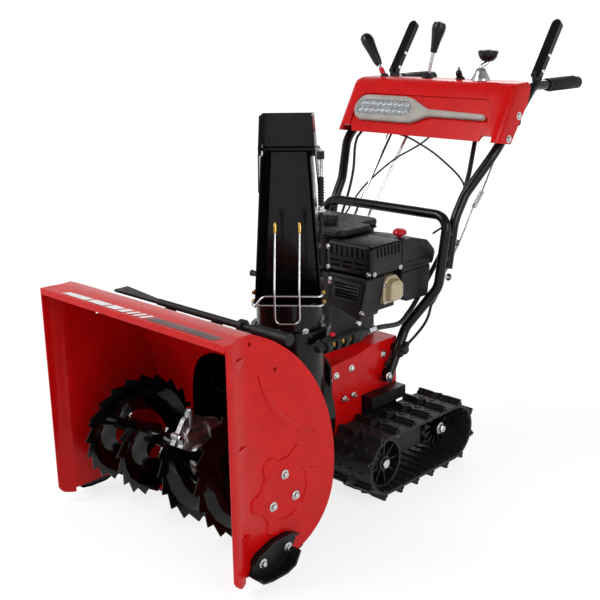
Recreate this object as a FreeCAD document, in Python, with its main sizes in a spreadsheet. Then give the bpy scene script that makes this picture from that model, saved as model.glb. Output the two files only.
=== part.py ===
import FreeCAD, Part

import math
import os

import Sketcher

# Tracked two-stage snow blower.  Millimetres, +Z up, the machine faces -Y and its left side is +X.
# The origin is on the ground at the middle of the whole machine.  Pieces are drawn with y counted
# from the front edge of the auger housing and placed half a machine length forward.

DRIVING_SIZES = {
    # auger housing, a box of formed sheet
    "housing_width": 606.0,
    "front_flare": 12.0,
    "housing_height": 498.0,
    "housing_clearance": 39.0,
    "housing_roof_depth": 70.0,
    "housing_roof_rise": 8.0,
    "sheet": 3.0,
    "shell_radius": 312.0,
    # auger and impeller
    "auger_axis_depth": 157.0,
    "auger_axis_height": 179.0,
    "auger_radius": 140.0,
    "auger_shaft_radius": 12.0,
    "impeller_axis_height": 210.0,
    "impeller_shaft_radius": 10.0,
    "drum_radius": 171.0,
    "drum_back": 460.0,
    "tip_gap": 6.0,
    "running_clearance": 0.05,
    "turning_clearance": 0.3,
    # chute
    "chute_offset": 105.0,
    "chute_depth": 383.0,
    "chute_bore": 73.0,
    "chute_ring_height": 438.0,
    "chute_facing": 40.0,
    "collar_height": 73.0,
    "chute_height": 394.0,
    "chute_base_width": 152.0,
    "chute_top_width": 108.0,
    "deflector_height": 80.0,
    "chute_sheet": 2.5,
    # chassis, deck and tracks
    "mount_plate": 6.0,
    "chassis_width": 250.0,
    "chassis_length": 276.0,
    "chassis_bottom": 66.0,
    "chassis_front_top": 316.0,
    "deck_height": 340.0,
    "track_gap": 9.0,
    "track_width": 132.0,
    "track_height": 176.0,
    "track_wheelbase": 259.0,
    "track_lead": 4.0,
    "belt": 8.0,
    "lug_height": 14.0,
    "axle_radius": 12.0,
    # handles and console
    "tube_radius": 12.5,
    "handle_spacer": 4.0,
    "grip_span": 480.0,
    "lower_handle_spread": 406.0,
    "foot_setback": 59.0,
    "foot_height": 231.0,
    "handle_reach": 683.0,
    "console_width": 530.0,
    "console_slope": 60.0,
    "grip_radius": 16.0,
    "grip_length": 150.0,
    # engine
    "engine_setback": 98.0,
    "head_side": 190.0,
}


class Size:
    """A number together with the sheet expression that it comes from."""

    def __init__(self, value, text):
        self.value = float(value)
        self.text = text

    def __add__(self, other):
        other = as_size(other)
        return Size(self.value + other.value, "(%s + %s)" % (self.text, other.text))

    def __sub__(self, other):
        other = as_size(other)
        return Size(self.value - other.value, "(%s - %s)" % (self.text, other.text))

    def __mul__(self, other):
        other = as_size(other)
        return Size(self.value * other.value, "(%s * %s)" % (self.text, other.text))

    def __truediv__(self, other):
        other = as_size(other)
        return Size(self.value / other.value, "(%s / %s)" % (self.text, other.text))

    def __neg__(self):
        return Size(-self.value, "(-1 * %s)" % self.text)

    def __radd__(self, other):
        return as_size(other) + self

    def __rsub__(self, other):
        return as_size(other) - self

    def __rmul__(self, other):
        return as_size(other) * self


def as_size(number):
    return number if isinstance(number, Size) else Size(number, "(%r)" % float(number))


def num(number):
    return number.value if isinstance(number, Size) else float(number)


def tangent(angle):
    return Size(math.tan(math.radians(angle.value)), "tan(%s)" % angle.text)


class Sheet:
    """The driving sizes, one cell each, read back as Size objects by name."""

    def __init__(self, document, table):
        self.cells = document.addObject("Spreadsheet::Sheet", "Sizes")
        for row, (alias, value) in enumerate(table.items(), start=1):
            self.cells.set("A%d" % row, alias)
            self.cells.set("B%d" % row, str(value))
            self.cells.setAlias("B%d" % row, alias)
        document.recompute()

    def __getattr__(self, alias):
        return Size(self.cells.get(alias), "Sizes." + alias)


doc = FreeCAD.newDocument("SnowBlower")
S = Sheet(doc, DRIVING_SIZES)
nodes = {}

# Places that several pieces share.
chassis_front = S.drum_back + S.mount_plate
chassis_rear = chassis_front + S.chassis_length
foot_y = chassis_rear - S.foot_setback
machine_length = foot_y + S.handle_reach
front = -machine_length / 2
roof_z = S.housing_clearance + S.housing_height
track_inner = S.chassis_width / 2 + S.track_gap
track_outer = track_inner + S.track_width
axle_z = S.track_height / 2
front_axle_y = chassis_front + axle_z - S.track_lead
rear_axle_y = front_axle_y + S.track_wheelbase
wheel_radius = axle_z - S.lug_height - S.belt
foot_x = S.chassis_width / 2 + S.tube_radius + S.handle_spacer
crossbar_x = S.lower_handle_spread / 2
grip_x = S.grip_span / 2
engine_front = chassis_front + S.engine_setback
SIDES = ((1, "left"), (-1, "right"))


# ---------------------------------------------------------------- drawing helpers

def vec(x, y, z):
    return FreeCAD.Vector(num(x), num(y), num(z))


def bind(thing, prop, size):
    thing.setExpression(prop, as_size(size).text)


def keep(label, thing):
    """Registers a finished sub-part under its node name."""
    thing.Label = label
    nodes[label] = thing
    return thing


def span(side, near, far):
    """The x range from near to far on one side of the machine."""
    return (near, far) if side > 0 else (-far, -near)


def block(name, x, y, z):
    box = doc.addObject("Part::Box", name)
    for prop, (low, high) in (("Length", x), ("Width", y), ("Height", z)):
        bind(box, prop, as_size(high) - low)
    bind(box, "Placement.Base.x", x[0])
    bind(box, "Placement.Base.y", front + y[0])
    bind(box, "Placement.Base.z", z[0])
    return box


def bar(name, start, direction, radius, length):
    """A round bar from a start point along one of the axes X, Y or Z."""
    cylinder = doc.addObject("Part::Cylinder", name)
    bind(cylinder, "Radius", radius)
    bind(cylinder, "Height", length)
    turn = FreeCAD.Rotation(FreeCAD.Vector(0, 0, 1), direction)
    cylinder.Placement = FreeCAD.Placement(FreeCAD.Vector(), turn)
    bind(cylinder, "Placement.Base.x", start[0])
    bind(cylinder, "Placement.Base.y", front + start[1])
    bind(cylinder, "Placement.Base.z", start[2])
    return cylinder


def joined(name, pieces):
    fused = doc.addObject("Part::MultiFuse", name)
    fused.Shapes = pieces
    return fused


def less(name, base, tool):
    cut = doc.addObject("Part::Cut", name)
    cut.Base = base
    cut.Tool = tool
    return cut


def solid(label, shape):
    """A sub-part whose shape is made with Part's own functions."""
    feature = doc.addObject("Part::Feature", label)
    feature.Shape = shape
    bind(feature, "Placement.Base.y", front)
    return keep(label, feature)


def new_body(label, x=0.0, y=0.0, z=0.0):
    body = doc.addObject("PartDesign::Body", label)
    bind(body, "Placement.Base.x", x)
    bind(body, "Placement.Base.y", front + y)
    bind(body, "Placement.Base.z", z)
    return keep(label, body)


def sketch_on(body, role, name, offset=0.0):
    """A sketch on one of the body's own origin planes, moved along its normal."""
    sketch = body.newObject("Sketcher::SketchObject", name)
    plane = [item for item in body.Origin.OriginFeatures if item.Role == role][0]
    sketch.AttachmentSupport = (plane, [""])
    sketch.MapMode = "FlatFace"
    bind(sketch, "AttachmentOffset.Base.z", offset)
    return sketch


def fix(sketch, kind, refs, size):
    """A named dimension, tied to the sheet."""
    size = as_size(size)
    name = "%s%d" % (kind, sketch.ConstraintCount)
    index = sketch.addConstraint(Sketcher.Constraint(kind, *refs, size.value))
    sketch.renameConstraint(index, name)
    sketch.setExpression("Constraints." + name, size.text)


def outline(sketch, corners):
    """A closed outline.  A corner is (u, v), or (u, v, r) where an arc of radius r runs on to the
    next corner, turning left for a positive r and right for a negative one."""
    ends = []
    for here, there in zip(corners, corners[1:] + corners[:1]):
        start = FreeCAD.Vector(num(here[0]), num(here[1]), 0)
        stop = FreeCAD.Vector(num(there[0]), num(there[1]), 0)
        if len(here) == 2:
            sketch.addGeometry(Part.LineSegment(start, stop), False)
            ends.append((1, 2))
            continue
        radius = abs(num(here[2]))
        left = num(here[2]) > 0
        chord = stop - start
        rise = math.sqrt(max(radius ** 2 - (chord.Length / 2) ** 2, 0.0))
        normal = FreeCAD.Vector(-chord.y, chord.x, 0).normalize()
        centre = (start + stop) * 0.5 + normal * (rise if left else -rise)
        first, last = (start, stop) if left else (stop, start)
        angles = [math.atan2(p.y - centre.y, p.x - centre.x) for p in (first, last)]
        circle = Part.Circle(centre, FreeCAD.Vector(0, 0, 1), radius)
        sketch.addGeometry(Part.ArcOfCircle(circle, angles[0], angles[1]), False)
        ends.append((1, 2) if left else (2, 1))
    count = len(corners)
    base = sketch.GeometryCount - count
    for i, corner in enumerate(corners):
        following = (i + 1) % count
        sketch.addConstraint(Sketcher.Constraint(
            "Coincident", base + i, ends[i][1], base + following, ends[following][0]))
        fix(sketch, "DistanceX", (-1, 1, base + i, ends[i][0]), corner[0])
        fix(sketch, "DistanceY", (-1, 1, base + i, ends[i][0]), corner[1])
        if len(corner) == 3:
            size = as_size(corner[2])
            fix(sketch, "Radius", (base + i,), size if size.value > 0 else -size)


def disc(sketch, u, v, radius):
    centre = FreeCAD.Vector(num(u), num(v), 0)
    index = sketch.addGeometry(Part.Circle(centre, FreeCAD.Vector(0, 0, 1), num(radius)), False)
    fix(sketch, "DistanceX", (-1, 1, index, 3), u)
    fix(sketch, "DistanceY", (-1, 1, index, 3), v)
    fix(sketch, "Radius", (index,), radius)


def swept(body, kind, name, sketch, length, reverse=False):
    """A Pad or a Pocket of one sketch; the recompute shows the feature to what follows it."""
    feature = body.newObject("PartDesign::" + kind, name)
    feature.Profile = sketch
    bind(feature, "Length", length)
    feature.Reversed = reverse
    before = body.Shape.Volume if kind == "Pocket" else 0.0
    doc.recompute()
    if kind == "Pocket" and not body.Shape.Volume < before - 1.0:
        raise RuntimeError("%s %s cuts nothing" % (body.Label, name))
    return feature


def rounded(body, name, radius, wanted, kind="Fillet"):
    """A fillet or chamfer on the edges of the body's tip that `wanted` accepts."""
    base = body.Tip
    picked = ["Edge%d" % (i + 1) for i, edge in enumerate(base.Shape.Edges) if wanted(edge)]
    feature = body.newObject("PartDesign::" + kind, name)
    feature.Base = (base, picked)
    bind(feature, "Radius" if kind == "Fillet" else "Size", radius)
    doc.recompute()
    return feature


def runs_along(edge, axis):
    """True for a straight edge parallel to the named axis."""
    if edge.Curve.TypeId != "Part::GeomLine":
        return False
    return abs(getattr(edge.tangentAt(edge.FirstParameter), axis)) > 0.999


def route(points, radii):
    """Straight runs joined by tangent arcs, one radius for each inner point."""
    edges = []
    start = points[0]
    for before, corner, after, radius in zip(points, points[1:], points[2:], radii):
        back = (before - corner).normalize()
        ahead = (after - corner).normalize()
        half = back.getAngle(ahead) / 2
        inward = (back + ahead).normalize()
        arc_start = corner + back * (radius / math.tan(half))
        arc_end = corner + ahead * (radius / math.tan(half))
        middle = corner + inward * (radius / math.sin(half) - radius)
        edges.append(Part.LineSegment(start, arc_start).toShape())
        edges.append(Part.Arc(arc_start, middle, arc_end).toShape())
        start = arc_end
    edges.append(Part.LineSegment(start, points[-1]).toShape())
    return Part.Wire(edges)


def tube(points, radii, radius):
    """A round bar bent along a route."""
    path = route(points, radii)
    along = points[1] - points[0]
    section = Part.Wire([Part.Circle(points[0], along, num(radius)).toShape()])
    return path.makePipeShell([section], True, False)


def slab(outline_points, direction):
    """A flat plate or prism: a closed polygon pushed along a vector."""
    wire = Part.makePolygon(outline_points + outline_points[:1])
    return Part.Face(wire).extrude(direction)


X, Y, Z = FreeCAD.Vector(1, 0, 0), FreeCAD.Vector(0, 1, 0), FreeCAD.Vector(0, 0, 1)


# ---------------------------------------------------------------- auger housing and drum

def shell_corner(angle, inset):
    """A point of the round back of the housing, by its angle above the horizontal."""
    radius = S.shell_radius - inset
    turn = math.radians(angle)
    return radius * math.cos(turn), S.impeller_axis_height + radius * math.sin(turn)


def housing_profile(sketch, inset, start):
    """The side outline of the housing, from its mouth at `start` round the curved back."""
    radius = S.shell_radius - inset
    foot = shell_corner(-31.0, inset)
    crown = shell_corner(60.0, inset)
    roof = roof_z + S.housing_roof_rise - inset
    floor = S.housing_clearance - 3.0 + inset
    outline(sketch, [
        (start, floor),
        (foot[0] - 55.0, floor),
        (foot[0], foot[1], radius),
        crown,
        (S.housing_roof_depth, roof),
        (start, roof - (S.housing_roof_rise * 0.4)),
    ])


def auger_housing():
    body = new_body("auger_housing")
    half = S.housing_width / 2
    throat = S.front_flare * 3.4
    shell = sketch_on(body, "YZ_Plane", "HousingOutline", -half)
    housing_profile(shell, as_size(0.0), throat)
    swept(body, "Pad", "HousingShell", shell, S.housing_width)
    hollow = sketch_on(body, "YZ_Plane", "HousingHollow", -half + S.sheet)
    housing_profile(hollow, S.sheet, throat - 10.0)
    swept(body, "Pocket", "HousingMouth", hollow, S.housing_width - S.sheet * 2, True)
    # The front strip of each side plate is bent outwards, and the roof has a straight front lip.
    for side, name in SIDES:
        wide = half + S.front_flare
        strip = sketch_on(body, "XY_Plane", "FrontStrip_" + name, S.housing_clearance)
        points = [
            (wide, 0.0), (wide, S.front_flare * 1.8), (half, throat + 3.0),
            (half - S.sheet, throat + 3.0), (wide - S.sheet, S.front_flare * 1.8 - 1.0),
            (wide - S.sheet, 0.0),
        ]
        outline(strip, [(u * side, as_size(v)) for u, v in points])
        swept(body, "Pad", "StripPad_" + name, strip, S.housing_height)
    lip = sketch_on(body, "YZ_Plane", "RoofLip", -half - S.front_flare)
    lip_rise = S.housing_roof_rise * 0.6
    outline(lip, [
        (0.0, roof_z - S.sheet), (throat + 2.0, roof_z + lip_rise - S.sheet),
        (throat + 2.0, roof_z + lip_rise), (0.0, roof_z),
    ])
    swept(body, "Pad", "RoofLipPad", lip, S.housing_width + S.front_flare * 2)
    opening = sketch_on(body, "XZ_Plane", "ImpellerOpening", -S.shell_radius - 20.0)
    disc(opening, 0.0, S.impeller_axis_height, S.drum_radius - S.sheet)
    swept(body, "Pocket", "ImpellerOpeningCut", opening, S.shell_radius * 0.6, True)
    # Bearing cups on the inside of both side plates carry the ends of the auger shaft.
    for side, name in SIDES:
        inner = half - S.sheet
        cup = sketch_on(body, "YZ_Plane", "BearingCup_" + name,
                        (inner - 16.0) if side > 0 else -inner)
        disc(cup, S.auger_axis_depth, S.auger_axis_height, S.auger_shaft_radius + 14.0)
        swept(body, "Pad", "BearingCupPad_" + name, cup, as_size(16.0))
        bore = sketch_on(body, "YZ_Plane", "BearingBore_" + name,
                         (inner - 17.0) if side > 0 else -inner - 0.0)
        disc(bore, S.auger_axis_depth, S.auger_axis_height,
             S.auger_shaft_radius + S.running_clearance)
        swept(body, "Pocket", "BearingBoreCut_" + name, bore, as_size(17.0), True)


def impeller_drum():
    body = new_body("impeller_drum")
    length = S.drum_back - S.shell_radius * 0.8
    # Round wall with a closed back, then the outlet neck, then the hollow of both.
    wall = sketch_on(body, "XZ_Plane", "DrumOutline", -S.drum_back)
    disc(wall, 0.0, S.impeller_axis_height, S.drum_radius)
    swept(body, "Pad", "DrumWall", wall, length)
    neck = sketch_on(body, "XY_Plane", "NeckOutline", S.impeller_axis_height)
    disc(neck, S.chute_offset, S.chute_depth, S.chute_bore + S.sheet)
    swept(body, "Pad", "Neck", neck, S.chute_ring_height - S.impeller_axis_height - 8.0)
    hollow = sketch_on(body, "XZ_Plane", "DrumHollow", -S.drum_back + S.sheet)
    disc(hollow, 0.0, S.impeller_axis_height, S.drum_radius - S.sheet)
    swept(body, "Pocket", "DrumHollowCut", hollow, length, True)
    bore = sketch_on(body, "XY_Plane", "NeckBore", S.impeller_axis_height + 20.0)
    disc(bore, S.chute_offset, S.chute_depth, S.chute_bore)
    swept(body, "Pocket", "NeckBoreCut", bore, S.chute_ring_height - S.impeller_axis_height, True)
    trim = sketch_on(body, "YZ_Plane", "HousingTrim", -S.housing_width / 2)
    housing_profile(trim, as_size(0.0), as_size(0.0))
    swept(body, "Pocket", "HousingTrimCut", trim, S.housing_width, True)
    shaft = sketch_on(body, "XZ_Plane", "ShaftBore", -S.drum_back - 1.0)
    disc(shaft, 0.0, S.impeller_axis_height, S.impeller_shaft_radius + S.running_clearance)
    swept(body, "Pocket", "ShaftBoreCut", shaft, S.sheet + 2.0, True)


def scraper_bar():
    """The wear strip under the front of the housing floor."""
    half = S.housing_width / 2
    keep("scraper_bar", block("scraper_bar", (-half + S.sheet, half - S.sheet),
                              (S.front_flare * 3.4 + 1.0, as_size(95.0)),
                              (S.housing_clearance - 9.0, S.housing_clearance - 3.0)))


def skid_shoe(side, name):
    """A bolted-on runner: an upright plate with two slots and a turned-out, upswept foot."""
    body = new_body("skid_shoe_" + name)
    face = S.housing_width / 2
    thickness = 5.0
    plate = sketch_on(body, "YZ_Plane", "ShoePlate",
                      face if side > 0 else -face - thickness)
    low = S.housing_clearance - 14.0
    outline(plate, [
        (50.0, low + 8.0), (64.0, low), (150.0, low), (176.0, low + 22.0),
        (172.0, low + 78.0), (96.0, low + 78.0), (52.0, low + 44.0),
    ])
    swept(body, "Pad", "ShoePlatePad", plate, as_size(thickness))
    foot = sketch_on(body, "YZ_Plane", "ShoeFoot",
                     face if side > 0 else -face - S.front_flare * 2.8)
    outline(foot, [
        (50.0, low + 8.0), (64.0, low), (150.0, low), (176.0, low + 22.0),
        (172.0, low + 24.0), (148.0, low + 5.0), (66.0, low + 5.0), (54.0, low + 12.0),
    ])
    swept(body, "Pad", "ShoeFootPad", foot, S.front_flare * 2.8)


# ---------------------------------------------------------------- auger, gearbox and impeller

def auger_gearbox():
    """The cast worm gearbox on the middle of the auger shaft."""
    z = S.auger_axis_height
    case = joined("GearboxCase", [
        bar("GearboxWheelCase", (-30.0, S.auger_axis_depth, z), X, 52.0, 60.0),
        bar("GearboxHubs", (-44.0, S.auger_axis_depth, z), X, 25.0, 88.0),
        bar("GearboxNeck", (0.0, S.auger_axis_depth - 30.0, S.impeller_axis_height), Y, 26.0, 110.0),
    ])
    bores = joined("GearboxBores", [
        bar("GearboxAugerBore", (-60.0, S.auger_axis_depth, z), X,
            S.auger_shaft_radius + S.running_clearance, 120.0),
        bar("GearboxImpellerBore", (0.0, S.auger_axis_depth - 25.0, S.impeller_axis_height), Y,
            S.impeller_shaft_radius + S.running_clearance, 140.0),
    ])
    keep("auger_gearbox", less("auger_gearbox", case, bores))


FLIGHT_DISH = 26.0


def flight_reach():
    """Distances of the inner and outer ends of a ribbon's root from the middle."""
    clear = num(S.sheet + S.tip_gap) + FLIGHT_DISH + 3.0
    return 58.0, num(S.housing_width / 2) - clear


def flight(side, phase):
    """One serrated, dished ribbon: a ruled loft through radial sections along a helix."""
    inner_x, outer_x = flight_reach()
    turns = 0.62
    teeth = 9
    root, tip = num(S.auger_radius) * 0.42, num(S.auger_radius)
    thick = num(S.sheet) + 1.0
    sections = []
    steps = teeth * 3
    for i in range(steps + 1):
        share = i / steps
        angle = phase + side * 2 * math.pi * turns * share
        x = side * (outer_x - (outer_x - inner_x) * share)
        reach = tip if i % 3 == 1 else tip - 14.0
        dish = side * FLIGHT_DISH
        corners = []
        for radius, lean in ((root, 0.0), (reach, dish)):
            for offset in (-thick / 2, thick / 2):
                corners.append((x + lean * (radius - root) / (tip - root) + offset, radius))
        order = (corners[0], corners[1], corners[3], corners[2])
        ring = [FreeCAD.Vector(u, num(S.auger_axis_depth) + r * math.cos(angle),
                               num(S.auger_axis_height) + r * math.sin(angle)) for u, r in order]
        sections.append(Part.makePolygon(ring + ring[:1]))
    return Part.makeLoft(sections, True, True)


def arm(side, x, angle):
    """A flat arm from the shaft tube out to a ribbon."""
    r0, r1 = num(S.auger_shaft_radius), num(S.auger_radius) * 0.55
    across = FreeCAD.Vector(0, -math.sin(angle), math.cos(angle)) * 14.0
    along = FreeCAD.Vector(0, math.cos(angle), math.sin(angle))
    centre = vec(side * x - 3.0, S.auger_axis_depth, S.auger_axis_height)
    corners = [centre + along * r0 - across, centre + along * r1 - across,
               centre + along * r1 + across, centre + along * r0 + across]
    return slab(corners, X * 6.0)


def auger_flights(side, name):
    inner_x, outer_x = flight_reach()
    turns = 0.62
    pieces = []
    for phase in (0.4, 0.4 + math.pi):
        pieces.append(flight(side, phase))
        for share in (0.06, 0.94):
            x = outer_x - (outer_x - inner_x) * share
            angle = phase + side * 2 * math.pi * turns * share
            pieces.append(arm(side, x, angle))
    sleeve = Part.makeCylinder(19.0, outer_x - 50.0, vec(side * 50.0, S.auger_axis_depth,
                                                        S.auger_axis_height), X * side)
    hole = Part.makeCylinder(num(S.auger_shaft_radius), outer_x, vec(0.0, S.auger_axis_depth,
                                                                     S.auger_axis_height), X * side)
    shape = sleeve.fuse(pieces).cut(hole)
    solid("auger_flights_" + name, shape.removeSplitter())


def auger_shaft():
    half = S.housing_width / 2 - S.sheet - 1.0
    keep("auger_shaft", bar("auger_shaft", (-half, S.auger_axis_depth, S.auger_axis_height), X,
                            S.auger_shaft_radius, half * 2))


def impeller():
    """Shaft, hub and paddles with tips bent forward into the direction of turning."""
    body = new_body("impeller", 0.0, 0.0, S.impeller_axis_height)
    shaft = sketch_on(body, "XZ_Plane", "ImpellerShaft", -S.drum_back - 20.0)
    disc(shaft, 0.0, 0.0, S.impeller_shaft_radius)
    swept(body, "Pad", "ImpellerShaftPad", shaft,
          S.drum_back + 20.0 - S.auger_axis_depth + 20.0)
    hub = sketch_on(body, "XZ_Plane", "ImpellerHub", -S.drum_back + 18.0)
    disc(hub, 0.0, 0.0, 26.0)
    swept(body, "Pad", "ImpellerHubPad", hub, as_size(100.0))
    paddle = sketch_on(body, "XZ_Plane", "ImpellerPaddle", -S.drum_back + 18.0)
    reach = S.drum_radius - S.sheet - S.tip_gap
    outline(paddle, [
        (-2.5, 20.0), (2.5, 20.0), (2.5, reach * 0.78), (24.0, reach * 0.93),
        (20.0, reach * 0.96), (-2.5, reach * 0.81),
    ])
    blade = swept(body, "Pad", "ImpellerPaddlePad", paddle, as_size(100.0))
    pattern = body.newObject("PartDesign::PolarPattern", "Paddles")
    pattern.Originals = [blade]
    pattern.Axis = ([i for i in body.Origin.OriginFeatures if i.Role == "Y_Axis"][0], [""])
    pattern.Occurrences = 5
    body.Tip = pattern
    doc.recompute()


# ---------------------------------------------------------------- chute

def chute_base_ring():
    """The retainer on top of the drum's neck that the chute flange turns in."""
    body = new_body("chute_base_ring", S.chute_offset, S.chute_depth, S.chute_ring_height)
    section = sketch_on(body, "XZ_Plane", "RingSection")
    bore = S.chute_bore
    outline(section, [
        (bore, -8.0), (bore + 18.0, -8.0), (bore + 18.0, 12.0), (bore + 8.0, 12.0),
        (bore + 8.0, 9.0), (bore + 14.0, 9.0), (bore + 14.0, 0.0), (bore, 0.0),
    ])
    turn = body.newObject("PartDesign::Revolution", "Ring")
    turn.Profile = section
    turn.ReferenceAxis = (section, ["V_Axis"])
    turn.Angle = 360
    doc.recompute()


def chute_frame(label):
    """A body drawn about the chute's own axis, facing forward, and turned as the chute stands."""
    body = new_body(label, S.chute_offset, S.chute_depth, S.chute_ring_height)
    bind(body, "Placement.Rotation.Angle", S.chute_facing)
    return body


def channel_section(sketch, width, depth, sheet):
    """The U of the chute, open to the front."""
    half = width / 2
    back = depth / 2
    chamfer = 14.0
    outline(sketch, [
        (half, -back), (half, back - chamfer), (half - chamfer, back), (-half + chamfer, back),
        (-half, back - chamfer), (-half, -back), (-half + sheet, -back),
        (-half + sheet, back - chamfer - 1.0), (-half + chamfer + 1.0, back - sheet),
        (half - chamfer - 1.0, back - sheet), (half - sheet, back - chamfer - 1.0),
        (half - sheet, -back),
    ])


def chute_body():
    body = chute_frame("chute_body")
    collar = sketch_on(body, "XY_Plane", "CollarOutline", S.turning_clearance)
    disc(collar, 0.0, 0.0, S.chute_bore + 4.0)
    swept(body, "Pad", "Collar", collar, S.collar_height)
    flange = sketch_on(body, "XY_Plane", "FlangeOutline", S.turning_clearance)
    disc(flange, 0.0, 0.0, S.chute_bore + 13.0)
    swept(body, "Pad", "Flange", flange, as_size(8.0))
    bore = sketch_on(body, "XY_Plane", "CollarBore", 0.0)
    disc(bore, 0.0, 0.0, S.chute_bore + 4.0 - S.chute_sheet)
    swept(body, "Pocket", "CollarBoreCut", bore, S.collar_height + 10.0, True)
    low = sketch_on(body, "XY_Plane", "ChannelFoot", S.collar_height - 12.0)
    channel_section(low, S.chute_base_width, S.chute_base_width * 0.62, S.chute_sheet)
    top = sketch_on(body, "XY_Plane", "ChannelTop", S.chute_height)
    channel_section(top, S.chute_top_width, S.chute_top_width * 0.86, S.chute_sheet)
    channel = body.newObject("PartDesign::AdditiveLoft", "Channel")
    channel.Profile = low
    channel.Sections = [top]
    channel.Ruled = True
    doc.recompute()
    # Two ears at the top carry the hinge pin of the deflector.
    hinge_y = S.chute_top_width * 0.43
    hinge_z = S.chute_height + 6.0
    for side, name in SIDES:
        outer = S.chute_top_width / 2
        ear = sketch_on(body, "YZ_Plane", "Ear_" + name,
                        (outer - S.chute_sheet) if side > 0 else -outer)
        outline(ear, [
            (hinge_y - 12.0, hinge_z - 26.0), (hinge_y, hinge_z - 26.0),
            (hinge_y + 5.0, hinge_z), (hinge_y, hinge_z + 6.0), (hinge_y - 6.0, hinge_z),
        ])
        swept(body, "Pad", "EarPad_" + name, ear, S.chute_sheet)
    pin = sketch_on(body, "YZ_Plane", "HingePin", -S.chute_top_width / 2 - 14.0)
    disc(pin, hinge_y, hinge_z, 3.0)
    swept(body, "Pad", "HingePinPad", pin, S.chute_top_width + 28.0)


def deflector():
    """The hood that hinges on the top of the chute: a back with two wings outside the channel."""
    body = chute_frame("deflector")
    hinge_y = S.chute_top_width * 0.43
    hinge_z = S.chute_height + 6.0
    inner = S.chute_top_width / 2 + 6.0
    top = hinge_z + S.deflector_height
    # Each wing leans inwards as it rises: a ruled loft through four level sections.
    levels = (
        (hinge_z - 92.0, inner + 5.5, -30.0, -14.0),
        (hinge_z - 20.0, inner + 1.2, -58.0, 5.0),
        (hinge_z + 12.0, inner - 0.9, -66.5, 4.5),
        (top, inner - 5.5, -72.0, -3.5),
    )
    for side, name in SIDES:
        sections = []
        for number, (z, x, near, far) in enumerate(levels):
            section = sketch_on(body, "XY_Plane", "Wing%s%d" % (name, number), z)
            x0, x1 = span(side, x, x + S.chute_sheet)
            outline(section, [(x0, hinge_y + near), (x1, hinge_y + near), (x1, hinge_y + far),
                              (x0, hinge_y + far)])
            sections.append(section)
        wing = body.newObject("PartDesign::AdditiveLoft", "WingLoft_" + name)
        wing.Profile = sections[0]
        wing.Sections = sections[1:]
        wing.Ruled = True
        doc.recompute()
        if side > 0:
            back = []
            for number, (z, x, near, far) in enumerate(levels[2:]):
                section = sketch_on(body, "XY_Plane", "HoodBack%d" % number, z)
                rear, wide = hinge_y + far, x + S.chute_sheet
                outline(section, [(-wide, rear - S.chute_sheet), (wide, rear - S.chute_sheet),
                                  (wide, rear), (-wide, rear)])
                back.append(section)
            hood = body.newObject("PartDesign::AdditiveLoft", "HoodBack")
            hood.Profile = back[0]
            hood.Sections = back[1:]
            hood.Ruled = True
            doc.recompute()
    hole = sketch_on(body, "YZ_Plane", "WingHoles", -inner - 10.0)
    disc(hole, hinge_y, hinge_z, 3.0 + S.running_clearance)
    swept(body, "Pocket", "WingHolesCut", hole, inner * 2 + 20.0, True)


def turned_with_chute(label, shape):
    """A sub-part drawn about the chute's axis with Part's own functions."""
    feature = doc.addObject("Part::Feature", label)
    feature.Shape = shape
    bind(feature, "Placement.Base.x", S.chute_offset)
    bind(feature, "Placement.Base.y", front + S.chute_depth)
    bind(feature, "Placement.Base.z", S.chute_ring_height)
    bind(feature, "Placement.Rotation.Angle", S.chute_facing)
    return keep(label, feature)


def channel_half(height):
    """Half the outer width of the chute's channel at a height above the ring."""
    foot = num(S.collar_height) - 12.0
    share = (height - foot) / (num(S.chute_height) - foot)
    return (num(S.chute_base_width) * (1 - share) + num(S.chute_top_width) * share) / 2


def chute_guard():
    """The wire guard across the open side of the chute: one long U and two cross bars."""
    wire = 2.5
    loop_y = -num(S.chute_bore) - 4.0 - wire - 1.0
    bar_y = loop_y + 2 * wire
    low, high = 36.0, num(S.collar_height) + 178.0
    leg = 27.0
    wall_y = num(S.chute_top_width) * 0.43
    loop = tube([vec(-leg, wall_y - 6.0, high), vec(-leg, loop_y, high), vec(-leg, loop_y, low),
                 vec(leg, loop_y, low), vec(leg, loop_y, high), vec(leg, wall_y - 6.0, high)],
                [10.0] * 4, wire)
    first, second = num(S.collar_height) + 4.0, num(S.collar_height) + 25.0
    half, upper_half = channel_half(first) + wire, channel_half(second) + wire
    lower = tube([vec(-half, -40.0, first), vec(-half, bar_y, first), vec(half, bar_y, first),
                  vec(half, -40.0, first)], [12.0, 12.0], wire)
    upper = tube([vec(-half + 8.0, bar_y, first), vec(-half + 24.0, bar_y, second),
                  vec(upper_half, bar_y, second), vec(upper_half, -40.0, second)],
                 [12.0, 12.0], wire)
    turned_with_chute("chute_guard", lower.fuse([upper, loop]))


def deflector_cable_end():
    """Bracket, bellows and spring of the deflector cable on the side of the chute."""
    x, y = 74.0, -33.0
    wall = channel_half(278.0)
    pieces = [
        Part.makeCylinder(6.0, 70.0, vec(x, y, 290.0)),
        Part.makeCylinder(9.0, 10.0, vec(x, y, 282.0)),
        Part.makeCylinder(4.5, 40.0, vec(x, y, 358.0)),
        Part.makeBox(x - wall + 8.0, 14.0, 5.0, vec(wall, y - 7.0, 278.0)),
        Part.makeCylinder(2.2, 60.0, vec(x, y, 222.0)),
    ]
    turned_with_chute("deflector_cable_end", pieces[0].fuse(pieces[1:]))


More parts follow.
